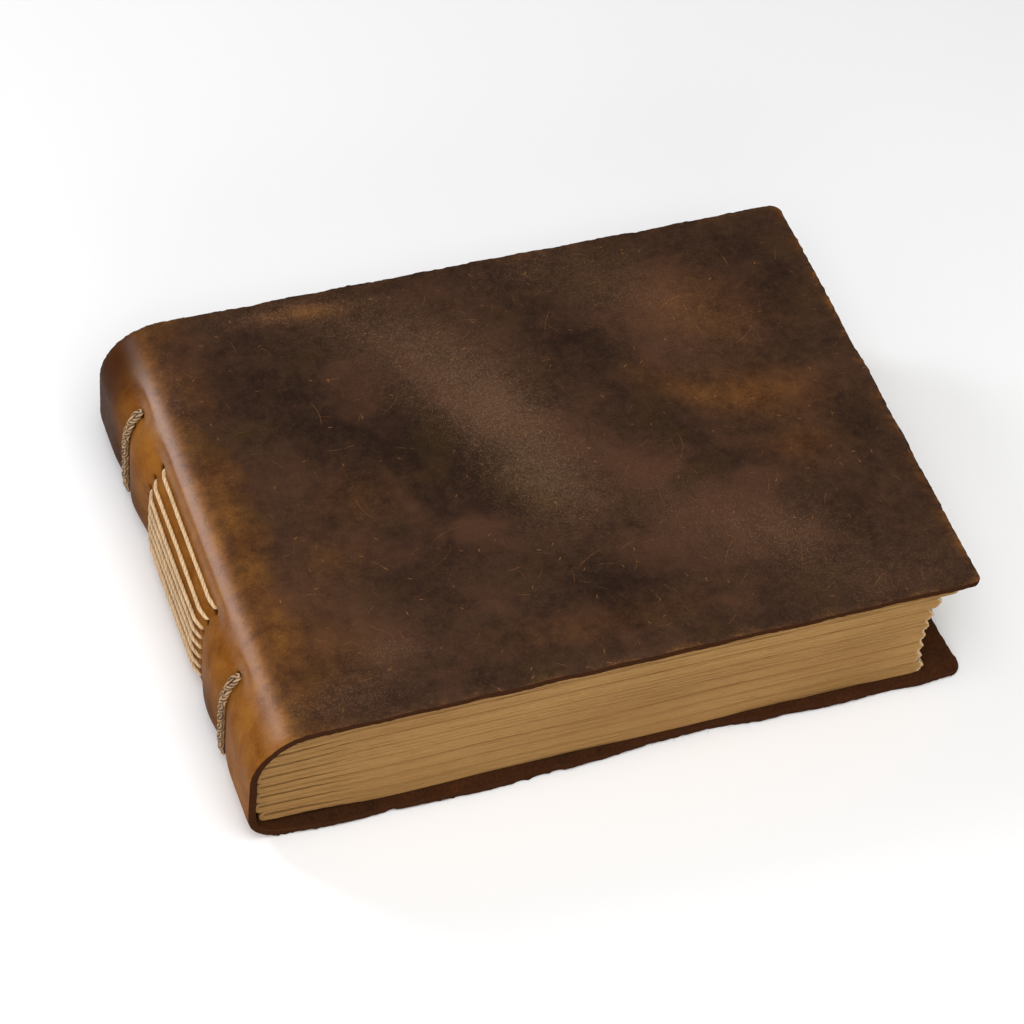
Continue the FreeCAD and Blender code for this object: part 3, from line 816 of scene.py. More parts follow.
WARM_PATCHES = (
    Patch(135, 40, 40, 26, -50, 0.6), Patch(200, -30, 44, 28, -40, 0.8), Patch(235, 60, 36, 26, -40, 0.5),
    Patch(50, -60, 40, 30, 0, 0.5), Patch(100, -30, 30, 20, 0, 0.3),
)


@dataclass(frozen=True)
class Nick:
    """A stretch of the back cover's tail edge, at a distance from the spine, cut shorter or left longer."""

    x: float
    half_length: float
    depth: float
    torn: float = 0.0

    def bite(self, x: Array) -> Array:
        """How far the edge is drawn in there: a flat-topped bell, and a ripple where it is torn."""
        rough = self.torn * ripple(spots(x, 0.0), 1.7, 91)
        return (self.depth + rough) * np.exp(-(((x - self.x) / self.half_length) ** 4))


NICKS = (Nick(70, 66, -1.7), Nick(182, 25, 2.3), Nick(120, 13, 0.3, 0.5), Nick(59, 1.6, 0.7, 0.2),
         Nick(228, 5, 0.4, 0.2), Nick(248, 20, -0.4, 0.1))


def spread(patches: Sequence[Patch], x: Array, y: Array) -> Array:
    """The patches' strengths added up."""
    return sum(patch.cover(x, y) for patch in patches)


@dataclass
class Hide:
    """The one piece of leather, cut into pieces where it has to bend."""

    spine: Spine
    sewing: Sewing
    finish: bpy.types.Material
    cover_pitch: float = 1.75
    spine_pitch: float = 0.42
    rim_round: float = 0.45
    hinge_reach: float = 4.3
    hole_margin: float = 1.3
    hole_size: tuple[float, float] = (1.45, 1.95)
    hole_depth: float = 2.4
    floor_gap: float = 0.02
    back_hinge: float = 46.0
    front_hinge: float = 58.0
    fold_place: float = 30.0
    fold_reach: float = 7.0
    seed: int = 20

    def __post_init__(self) -> None:
        """Works out the columns along the hide, the ring round it, and every point."""
        first, _, third, fourth, end = self.spine.turns
        self.holes = [self.spine.at_height(z) for z in self.sewing.heights]
        self.back_bend = first + self.spine.bottom_radius * math.radians(self.back_hinge)
        self.front_bend = third + self.spine.top_radius * math.radians(self.front_hinge)
        self.fold = fourth + self.fold_place - self.spine.top_radius
        self.parting = (self.front_bend + self.fold) / 2
        marks = [3.0, first - 4, self.holes[-1] - 4, *sorted(self.holes), self.holes[0] + 4, self.parting,
                 self.fold + 9, end - 3.0]
        pitches = [self.cover_pitch, 0.8] + [self.spine_pitch] * (len(self.holes) + 1) + [
            0.7, 1.0, self.cover_pitch]
        inner = steps(marks, pitches)
        rim_runs = self.rim_run(RIM_DEPTHS)
        self.s = np.concatenate([rim_runs[::-1], NEAR_EDGE, inner, end - NEAR_EDGE[::-1], end - rim_runs])
        rims = len(RIM_DEPTHS)
        # How far the ring is closed to its middle: 0 along the hide, and 1 at each fore edge.
        self.closing = np.zeros(len(self.s))
        self.closing[:rims] = RIM_DEPTHS[::-1] * 2
        self.closing[-rims:] = RIM_DEPTHS * 2
        self.ring()
        self.lay()

    def rim_run(self, depth: Array) -> Array:
        """How far in from the nominal edge the cut face is: flat, with its two corners rounded off."""
        return self.rim_round * np.abs(2 * depth - 1) ** 5

    def ring(self) -> None:
        """Sets the ring round the hide: tail edge, grain side, head edge and flesh side."""
        half = self.spine.half_width
        marks, pitches = [-half + 3], []
        for station in sorted(self.sewing.stations):
            marks += [station - 3.6, station + 3.6]
            pitches += [1.9, 0.4]
        marks, pitches = marks + [half - 3], pitches + [1.9]
        grain = np.concatenate([-half + NEAR_EDGE, steps(marks, pitches), half - NEAR_EDGE[::-1]])
        head = half - self.rim_run(SIDE_DEPTHS)
        half_rim = len(SIDE_DEPTHS) // 2
        self.y = np.concatenate([-head[:half_rim][::-1], grain, head, grain[::-1], -head[half_rim:][::-1]])
        self.depth = np.concatenate([
            SIDE_DEPTHS[:half_rim][::-1], 0 * grain, SIDE_DEPTHS, 0 * grain + 1,
            SIDE_DEPTHS[half_rim:][::-1]])
        self.on_rim = ((self.depth > 0) & (self.depth < 1)) * 1.0
        self.around = len(self.y)

    def sink(self, s: Array, y: Array) -> tuple[Array, Array, Array]:
        """How far the grain side lies below the nominal line, and why.

        The sewing tucks the hide in between its first and last fold, and the rest is a soft unevenness.

        Args:
            s: Distances along the outside line.
            y: Places from the tail to the head.

        Returns:
            The whole depth without the holes, the tuck's part of it, and how deep in a punched hole each
            place is, from 0 to 1.
        """
        low, high = min(self.holes), max(self.holes)
        along = smooth(s, low - 9, low + 4) * (1 - smooth(s, high - 1, high + 7))
        pull = self.sewing.tuck(y) * along
        pit = np.zeros_like(pull)
        headward = (self.sewing.head_row, self.sewing.tail_link)
        for hole in self.holes:
            for station in self.sewing.stations:
                middle = station + (HOLE_SHIFT if station in headward else -HOLE_SHIFT)
                away = np.hypot((s - hole) / self.hole_size[0], (y - middle) / self.hole_size[1])
                pit = np.maximum(pit, 1 - smooth(away, 0.55, 1.15))
        spot = spots(s, y)
        uneven = 0.22 * (1 + ripple(spot, 95, self.seed)) + 0.1 * (1 + ripple(spot, 28, self.seed + 1))
        first, _, _, fourth, _ = self.spine.turns
        level = 1 - smooth(s, first - 10, first + 6) * (1 - smooth(s, fourth, fourth + 30))
        return pull + np.clip(uneven, 0, 1) * (0.25 + 0.75 * level), pull, pit

    def fore_edge(self, s: Array, y: Array) -> Array:
        """How far in from the fore edge each place comes to lie, with the edge's corners and its wander.

        The edge is drawn in at its corners by R - sqrt(R^2 - (R - v)^2), v being the way in from the side.
        """
        end = self.spine.turns[-1]
        back = s < end / 2
        radius = np.where(back, np.where(y > 0, 5.0, 6.0), np.where(y > 0, 5.5, 3.5))
        short = np.clip(radius - np.clip(self.spine.half_width - np.abs(y), 0, None), 0, None)
        drawn = radius - np.sqrt(np.clip(radius**2 - short**2, 0, None))
        rough = ripple(spots(y, 40.0 * back), 34, self.seed + 2) * np.where(back, 0.7, 0.25)
        rough = rough + ripple(spots(y, 9.0 * back), 7, self.seed + 3) * 0.16
        inset = np.where(back, s, end - s)
        return inset + (drawn + rough) * np.clip(1 - inset / 26, 0, 1)

    def long_edges(self, s: Array, y: Array) -> Array:
        """How far the tail and head edges are drawn in: they wander a little, and the back cover's more."""
        spine = self.spine
        from_face = spine.back_edge - spine.left - s
        back = -0.5 + 0.35 * ripple(spots(s, 0.0 * y), 42, self.seed + 4) + 0.08 * ripple(
            spots(s, 0.0 * y), 11, self.seed + 5)
        back = back + sum(nick.bite(from_face) for nick in NICKS) * (y < 0)
        front = 0.22 * ripple(spots(s, 5.0), 40, self.seed + 6)
        front = front + 0.1 * ripple(spots(s, 5.0), 6, self.seed + 7)
        share = 1 - smooth(s, spine.turns[0] - 30, spine.turns[1])
        return back * share * (y < 0) + front * (1 - share * (y < 0))

    def lay(self) -> None:
        """Works out every point of the hide."""
        spine = self.spine
        s, y = np.meshgrid(self.s, self.y, indexing="ij")
        closing = self.closing[:, None]
        depth = self.depth + (0.5 - self.depth) * closing
        end = spine.turns[-1]
        moved = self.fore_edge(s, y)
        run = np.where(s < end / 2, moved, end - moved)
        from_side = np.clip(spine.half_width - np.abs(y), 0, None)
        side = np.sign(y)
        placed = y - side * self.long_edges(s, y) * np.clip(1 - from_side / 14, 0, 1)

        flat, out = spine.line(run)
        sunk, tucked, pit = self.sink(run, y)
        grain_share = np.clip(1 - depth * 1.6, 0, 1)
        fray = np.random.default_rng(self.seed + 8).normal(size=s.shape) * 0.07
        rimmed = np.clip(self.on_rim[None, :] + (closing > 0), 0, 1)
        level = -(depth * spine.thickness) - sunk * grain_share + fray * rimmed
        level = level - tucked * TUCK_SHARE * (1 - grain_share) - self.hole_depth * pit * grain_share
        level = level - 0.25 * grain_share * (1 - smooth(from_side, 0.3, 3.0))
        frayed = fray * 1.3 + 0.08 * ripple(spots(run, y * 0.7, depth * 9), 2.6, self.seed + 9)
        placed = placed + side * self.on_rim[None, :] * frayed
        points = np.empty(s.shape + (3,))
        points[..., 0] = flat[..., 0] + out[..., 0] * level
        points[..., 1] = placed
        points[..., 2] = flat[..., 1] + out[..., 1] * level
        # At each fore edge the ring is folded flat, so that its two halves share their points.
        mirror = points[:, ::-1]
        points[0], points[-1] = (points[0] + mirror[0]) / 2, (points[-1] + mirror[-1]) / 2
        points[..., 2] = np.clip(points[..., 2], self.floor_gap, None)
        self.points = points
        self.normals = self.point_normals()
        self.marks = {
            "hide": np.stack([run, y, depth * 40], -1),
            "rim": rimmed + 0 * s,
            "flesh": ((self.depth[None, :] > 0.99) & (closing < 0.01)) * 1.0,
            # Where the punched holes are; the finish paints them near-black as painted shade.
            "pit": pit * (depth < 0.5),
            **self.wear(run, y, flat[..., 0] - spine.left, from_side, moved),
        }

    def wear(self, run: Array, y: Array, from_spine: Array, from_side: Array, from_fore: Array
             ) -> dict[str, Array]:
        """The marks of wear that the finish needs to know at each point.

        Args:
            run: The distance along the outside line.
            y: The place from the tail to the head.
            from_spine: The distance from the spine's outer face.
            from_side: The way in from the nearer long edge.
            from_fore: The way in from the nearer fore edge.

        Returns:
            Bloom, tan, dusk, polish and warmth. Dusk darkens: in patches, on the back, towards the spine's
            head, and as painted shade on the spine's low wall.
        """
        first, _, third, fourth, end = self.spine.turns
        on_front = (run > end / 2) * 1.0
        bend = run - third
        spot = spots(run, y)
        uneven = 5.0 * ripple(spot, 30, self.seed + 10) + 2.5 * ripple(spot, 9, self.seed + 11)
        spine_tan = smooth(run, first - 12, first + 8) * (
            (1 - smooth(bend, 24, 36)) + 0.14 * smooth(bend, 24, 36) * (1 - smooth(bend + uneven, 30, 56)))
        head_dark = smooth(y, 66, 100) * (1 - smooth(run, third, fourth + 4) * 0.3)
        patchy = 0.35 + 0.5 * ripple(spot, 17, self.seed + 12) + 0.4 * ripple(spot, 4, self.seed + 15)
        patchy = np.clip(patchy, 0, 1)
        rubbed_edges = (0.3 * np.exp(-from_side / 1.6) + 0.9 * np.exp(-from_fore / 1.8)) * patchy
        tan = (1.3 * spine_tan * (1 - 0.1 * head_dark) + spread(TAN_PATCHES, from_spine, y) * on_front
               + rubbed_edges)
        polish = smooth(bend, 17, 23) * (1 - smooth(bend, 26, 38)) * (1 - head_dark)
        polish = polish + 0.12 * smooth(bend, 40, 56)
        tail_bloom = np.exp(-((self.spine.half_width + y) / 4.5)) * smooth(run, fourth - 4, fourth + 12)
        bloom = spread(BLOOM_PATCHES, from_spine, y) * on_front + 0.4 * tail_bloom * patchy
        back_bloom = np.clip(0.35 * ripple(spot, 60, self.seed + 13), 0, 1) * (1 - on_front)
        # Painted shade: the lower part of the spine's wall, which turns away from the light, is darkened
        # through dusk, towards the head and around the tail link.
        painted_low_wall_shade = (1 - smooth(bend, -24, 4)) * (smooth(y, 28, 60) + np.exp(-(((y + 52) / 13) ** 2)))
        dusk = spread(DUSK_PATCHES, from_spine, y) * on_front
        dusk = dusk + (0.95 * head_dark + 0.7 * painted_low_wall_shade) * spine_tan
        back_dusk = np.clip(0.35 + 0.4 * ripple(spot, 50, self.seed + 14), 0, 1)
        dusk = dusk + (1 - on_front) * back_dusk * (1 - spine_tan)
        return {
            "bloom": np.clip(bloom + back_bloom, 0, 1.2),
            "tan": np.clip(tan, 0, 1.3),
            "dusk": np.clip(dusk, 0, 1),
            "polish": np.clip(0.9 * polish, 0, 1),
            "warmth": np.clip(spread(WARM_PATCHES, from_spine, y) * on_front, 0, 1),
        }

    def point_normals(self) -> Array:
        """Unit normals of the whole hide, the mean of the faces at each point, so that its pieces shade as
        one."""
        faces = self.faces(0, len(self.s) - 1)
        flat = self.points.reshape(-1, 3)
        turned = self.crossed(flat[faces])
        total = np.zeros_like(flat)
        for corner in range(4):
            np.add.at(total, faces[:, corner], turned)
        return unit(total)

    @staticmethod
    def crossed(corners: Array) -> Array:
        """Each quad's normal times twice its area: the cross product of its diagonals."""
        return np.cross(corners[:, 2] - corners[:, 0], corners[:, 3] - corners[:, 1])

    def faces(self, first: int, last: int) -> Array:
        """Quads from one column to another, with the folded columns at the fore edges joined up."""
        quads = wrap_faces(self.around, last - first + 1) + first * self.around
        end = len(self.s) - 1
        column, place = quads // self.around, quads % self.around
        folded = ((column == 0) | (column == end)) & (place >= self.around // 2)
        return np.where(folded, column * self.around + self.around - 1 - place, quads)[:, ::-1]

    def piece(self, name: str, start: float, stop: float) -> bpy.types.Object:
        """Cuts one piece out of the hide.

        Args:
            name: Its name.
            start: The distance s where it starts.
            stop: The distance s where it ends.

        Returns:
            The piece, closed at its cuts.
        """
        first, last = (int(np.abs(self.s - where).argmin()) for where in (start, stop))
        quads = self.faces(first, last)
        normals = self.normals[quads]
        caps = []
        if first > 0:
            caps.append(fold_cap(self.around, first * self.around))
        if last < len(self.s) - 1:
            caps.append(fold_cap(self.around, last * self.around)[:, ::-1])
        flat = self.points.reshape(-1, 3)
        for cap in caps:
            turned = unit(self.crossed(flat[cap]))
            quads = np.vstack([quads, cap])
            normals = np.concatenate([normals, np.repeat(turned[:, None], 4, axis=1)])
        used, numbers = np.unique(quads, return_inverse=True)
        patchwork = Patchwork()
        marks = {mark: values.reshape(-1, *values.shape[2:])[used] for mark, values in self.marks.items()}
        patchwork.add(flat[used], numbers.reshape(quads.shape), **marks)
        fibre_normals = self.fibres(name, float(self.s[first]), float(self.s[last]), patchwork)
        return patchwork.build(name, self.finish, np.concatenate([normals, fibre_normals]))

    def fibres(self, name: str, start: float, stop: float, patchwork: Patchwork) -> Array:
        """Adds the loose fibres of the raw tail and head edges to a piece.

        A fibre is a thin three-sided spike: its middle line is the root plus the way out times u, bent aside
        by u squared, and its radius falls as 1.04 - u.

        Args:
            name: The piece's name, which picks the random numbers.
            start: The distance s where the piece starts.
            stop: The distance s where it ends.
            patchwork: What the fibres are added to.

        Returns:
            A normal for each corner of their faces.
        """
        spine = self.spine
        draw = np.random.default_rng(hash_of(name) + self.seed)
        first, _, _, fourth, _ = spine.turns
        count = int((stop - start) * 1.5)
        s = draw.uniform(start + 0.3, stop - 0.3, count)
        side = np.where(draw.random(count) < 0.6, -1.0, 1.0)
        likely = 0.2 + 0.8 * np.exp(-(((s - fourth + 16) / 26) ** 2)) + 0.35 * (s < first)
        chosen = draw.random(count) < likely
        s, side = s[chosen], side[chosen]
        count = len(s)
        depth = np.where(s < first, draw.uniform(0.25, 0.95, count), draw.uniform(0.55, 0.98, count))
        length = draw.gamma(2.2, 0.33, count).clip(0.3, 2.4)
        flat, out = spine.line(s)
        along = np.stack([out[:, 1], 0 * s, -out[:, 0]], -1)
        outward = np.stack([out[:, 0], 0 * s, out[:, 1]], -1)
        root = np.stack([flat[:, 0], side * (spine.half_width - 0.35), flat[:, 1]], -1) - outward * (
            depth * spine.thickness)[:, None]
        reach = np.stack([0 * s, side, 0 * s], -1) + along * draw.normal(0, 0.5, count)[:, None]
        bent = along * draw.normal(0, 0.9, count)[:, None] - outward * draw.uniform(0.1, 0.9, count)[:, None]
        u = np.array([0.0, 0.35, 0.7, 1.0])[None, :, None]
        line = root[:, None] + (reach[:, None] * u + bent[:, None] * u**2) * length[:, None, None]
        turn = np.array([0, 2, 4]) * math.pi / 3
        ring = np.cos(turn)[:, None] * along[:, None, None] + np.sin(turn)[:, None] * outward[:, None, None]
        radius = draw.uniform(0.035, 0.075, count)[:, None, None, None] * (1.04 - u[..., None])
        points = line[:, :, None] + ring * radius
        points[..., 2] = np.clip(points[..., 2], self.floor_gap + 0.01, None)
        each = 12
        one = np.vstack([wrap_faces(3, 4), [[2, 1, 0, 0]], [[9, 10, 11, 11]]])
        quads = one[None] + each * np.arange(count)[:, None, None]
        quads = np.where(side[:, None, None] < 0, quads, quads[:, :, ::-1]).reshape(-1, 4)
        radial = (ring * np.ones_like(radius)).reshape(-1, 3)
        spot = np.repeat(np.stack([s, side * spine.half_width, depth * 40], -1), each, axis=0)
        clean = {mark: np.zeros(count * each) for mark in self.marks if mark not in ("hide", "rim")}
        patchwork.add(points.reshape(-1, 3), quads, hide=spot, rim=np.ones(count * each), **clean)
        return radial[quads]

    def hinge_span(self, number: int) -> tuple[float, float]:
        """Between which distances along the hide it bends, below a gathering's hole."""
        return self.holes[number] + self.hole_margin, self.holes[number - 1] - self.hole_margin

    def build(self) -> None:
        """Cuts and names every piece of the hide, bakes it in place and hides the frame nodes that it stands
        for.
        """
        end = self.spine.turns[-1]
        reach = self.hinge_reach
        back = self.piece("leather_back", 0.0, self.holes[-1])
        self.bind(back, "back_cover_body", "gathering_8_body", self.back_bend - reach, self.back_bend + reach,
                  "back_cover")
        for number in range(GATHERINGS - 1, 0, -1):
            strip = self.piece(f"leather_spine_{number}", self.holes[number], self.holes[number - 1])
            self.bind(strip, f"gathering_{number + 1}_body", f"gathering_{number}_body",
                      *self.hinge_span(number), f"spine_strip_{number + 1}")
        shoulder = self.piece("leather_shoulder", self.holes[0], self.parting)
        self.bind(shoulder, "gathering_1_body", "front_shoulder_body", self.front_bend - reach,
                  self.front_bend + reach, "spine_strip_1", "front_shoulder")
        front = self.piece("leather_front", self.parting, end)
        self.bind(front, "front_shoulder_body", "front_cover_body", self.fold - self.fold_reach,
                  self.fold + self.fold_reach, "front_cover")

    def bind(self, piece: bpy.types.Object, before: str, after: str, start: float, stop: float,
             *nodes: str) -> None:
        """Bakes a piece's transform into its mesh and hides the frame nodes that it stands for."""
        self.spine.point(start)
        self.spine.point(stop)
        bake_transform(piece)
        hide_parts(*nodes)


def hash_of(name: str) -> int:
    """A number from a name that is the same on every run."""
    return sum((place + 1) * ord(letter) for place, letter in enumerate(name))


# ---------------------------------------------------------------- the paper


@dataclass
class Gathering:
    """Six sheets folded together: each leaf leaves the fold level, swells in an S and runs on to its edge."""

    number: int
    spine: Spine
    sewing: Sewing
    finish: bpy.types.Material
    page_width: float = 281.0
    half_page: float = 105.0
    nose: float = 2.9
    thickness: float = 0.42
    loft: float = 0.52
    swell_start: float = 17.1
    swell_run: float = 40.0
    swell_short: float = 17.0
    cover_gap: float = 0.3
    fold_points: int = 11
    seed: int = 300

    def sheet(self, index: int, patchwork: Patchwork) -> None:
        """Adds one folded sheet, counted from the inside.

        Its middle line goes from the upper leaf's edge to the fold, half round it and back along the lower
        leaf. The height of a leaf at x is near + (far - near) S((x - start) / run), where S is 3t^2 - 2t^3.

        Args:
            index: The sheet's place, 0 being the inmost.
            patchwork: What it is added to.
        """
        spine = self.spine
        left = spine.left
        fold_x, fold_z = self.sewing.fold_x[self.number - 1], self.sewing.heights[self.number - 1]
        inside = spine.height - 2 * spine.thickness - 2 * self.cover_gap
        pitch = inside / GATHERINGS
        block_z = spine.height - spine.thickness - self.cover_gap - (self.number - 0.5) * pitch
        inmost = THREAD_RADIUS + 0.2
        nose = inmost + index * (self.nose - 0.15 - inmost) / (SHEETS - 1)
        flat = (index + 0.5) * (pitch - 0.25) / (2 * SHEETS)
        draw = np.random.default_rng(self.seed + self.number * 10 + index)
        creep = 0.26 * (SHEETS - 1 - index) - 0.65 + draw.normal(0, 0.16)
        edge = fold_x - self.nose + self.page_width + creep

        swell = left + self.swell_start
        leaf_x = np.concatenate([
            edge - np.array([0, 0.25, 1.2, 4]), np.linspace(edge - 10, left + 66, 26),
            np.linspace(left + 60, swell, 22), [fold_x + (swell - fold_x) * 0.5]])
        half_turn = np.linspace(math.pi / 2, 3 * math.pi / 2, self.fold_points)
        lines = []
        for way in (1, -1):
            near, far = fold_z + way * nose, block_z + way * flat
            lift = np.clip((far - spine.height / 2) / (spine.height / 2), 0, 1)
            run = self.swell_run - self.swell_short * lift**1.5
            z = near + (far - near) * smooth(leaf_x, swell, swell + run)
            level = way * (index + 0.5) + (GATHERINGS - self.number) * 2 * SHEETS
            lines.append((leaf_x, z, np.full(len(leaf_x), level)))
        turn = (fold_x + nose * np.cos(half_turn), fold_z + nose * np.sin(half_turn),
                np.full(self.fold_points, lines[0][2][0]))
        x, z, level = (np.concatenate([lines[0][i], turn[i], lines[1][i][::-1]]) for i in range(3))

        rows = np.concatenate([[-1, -0.996], np.linspace(-0.975, 0.975, 22), [0.996, 1]]) * self.half_page
        slope = np.stack([np.gradient(x), np.gradient(z)], -1)
        slope /= np.linalg.norm(slope, axis=1)[:, None]
        out = np.stack([slope[:, 1], -slope[:, 0]], -1)
        half_leaf = (self.thickness + (self.loft - self.thickness) * smooth(x, left + 22, left + 55)) / 2
        ring_x = np.concatenate([x + out[:, 0] * half_leaf, (x - out[:, 0] * half_leaf)[::-1]])
        ring_z = np.concatenate([z + out[:, 1] * half_leaf, (z - out[:, 1] * half_leaf)[::-1]])
        ring_level = np.concatenate([level, level[::-1]])
        across, y = np.meshgrid(ring_x, rows, indexing="xy")
        height = np.broadcast_to(ring_z, across.shape)
        rank = np.broadcast_to(ring_level, across.shape)

        shared = np.stack([across, y * 0.8, rank * 2.0], -1)
        # Leaves bow together by up to a fifth of a millimetre, most half-way up, where they have room to.
        rise = (height - spine.thickness) / (spine.height - 2 * spine.thickness)
        room = np.sin(math.pi * np.clip(rise, 0, 1))
        height = height + 0.2 * room * ripple(shared, 130, self.seed) * smooth(across, left + 20, left + 50)
        _, out_line = spine.line(np.array([spine.at_height(fold_z)]))
        across = across + self.sewing.tuck(y) * TUCK_SHARE / -out_line[0, 0] * (
            1 - smooth(across, left + 17, left + 60))
        slack = smooth(across, edge - 30, edge)
        own = np.stack([across, y * 0.02 + index * 9.1, rank * 0 + self.number * 5.3], -1)
        ragged = 0.2 * ripple(own, 60, self.seed + 1) + 0.1 * ripple(own, 9, self.seed + 2)
        set_back = draw.normal(0, 0.1) + 0.14 * math.sin(self.number * 2.3)
        y = y * (1 + (ragged + set_back) / self.half_page)
        fore = np.stack([y, rank * 2.7], -1)
        uneven = 0.3 * ripple(fore, 40, self.seed + 3) + 0.15 * ripple(fore, 13, self.seed + 4)
        across = across + slack**4 * uneven

        around = len(ring_x)
        quads = wrap_faces(around, len(rows))
        caps = np.vstack([fold_cap(around, 0)[:, ::-1], fold_cap(around, (len(rows) - 1) * around)])
        points = np.stack([across, y, height], -1)
        leaf = np.stack([across, y, rank * 4 + self.number * 90], -1)
        cut = smooth(across, edge - 2.2, edge - 0.1)
        age = np.clip(0.2 + 0.2 * ripple(shared, 160, self.seed + 5), 0, 1) * (1 - slack) + smooth(
            across, left + 45, left + 10) * 0.2 + (index == SHEETS - 1) * 0.35
        patchwork.add(points, np.vstack([quads, caps])[:, ::-1], leaf=leaf.reshape(-1, 3), cut=cut.ravel(),
                      age=age.ravel())

    def build(self) -> None:
        """Makes the whole gathering as one piece."""
        patchwork = Patchwork()
        for index in range(SHEETS):
            self.sheet(index, patchwork)
        piece = patchwork.build(f"pages_{self.number}", self.finish)
        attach(piece, f"gathering_{self.number}_body")
        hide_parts(f"gathering_{self.number}")


# ---------------------------------------------------------------- the thread


@dataclass
class Cord:
    """Laid thread: three strands twisted together, swept along a path."""

    radius: float
    twist: float = 2.7
    around: int = 15
    lobes: int = 3
    groove: float = 0.04

    def sweep(self, path: Array, patchwork: Patchwork, offset: float = 0.0, closed: bool = False) -> None:
        """Adds a cord along a path.

        The section's radius is r times 1 - g + g cos(n (angle - turn)), g being the groove and n the number
        of lobes, and turn grows evenly along the path, by one lobe for each twist.

        Args:
            path: Its middle line, in millimetres.
            patchwork: What it is added to.
            offset: Where along the thread its finish starts, so that no two cords look the same.
            closed: Whether the end joins the start.
        """
        _, aside, up = path_frames(path)
        gone = run_lengths(path)
        twist = gone[-1] / max(1, round(gone[-1] / self.twist)) if closed else self.twist
        angle = np.linspace(0, 2 * math.pi, self.around, endpoint=False)[None]
        lobe = np.cos(self.lobes * (angle - 2 * math.pi * gone[:, None] / twist / self.lobes))
        radius = self.radius * (1 - self.groove + self.groove * lobe) * (
            1 + 0.035 * ripple(spots(gone, offset), 5, 77)[:, None])
        points = path[:, None] + (np.cos(angle)[..., None] * aside[:, None] + np.sin(angle)[..., None]
                                  * up[:, None]) * radius[..., None]
        count = len(path)
        quads = wrap_faces(self.around, count)
        run = spots(gone[:, None] + offset, np.cos(angle) * self.radius, np.sin(angle) * self.radius)
        # ply is 1 on a strand's crest and 0 in the groove between strands; the finish paints shade into the
        # grooves by it.
        ply = (lobe + 1) / 2
        here = np.arange(self.around)
        nxt = (here + 1) % self.around
        base = (count - 1) * self.around
        if closed:
            seam = np.stack([base + here, base + nxt, nxt, here], -1)
            patchwork.add(points, np.vstack([quads, seam])[:, ::-1], run=run.reshape(-1, 3), ply=ply.ravel())
            return
        ends = np.stack([path[0], path[-1]])
        tail, head = count * self.around, count * self.around + 1
        fans = np.vstack([spots(nxt, here, tail, tail), spots(base + here, base + nxt, head, head)])
        run = np.concatenate([run.reshape(-1, 3), [[offset, 0, 0], [offset + gone[-1], 0, 0]]])
        patchwork.add(np.concatenate([points.reshape(-1, 3), ends]), np.vstack([quads, fans])[:, ::-1],
                      run=run, ply=np.concatenate([ply.ravel(), [0.5, 0.5]]))


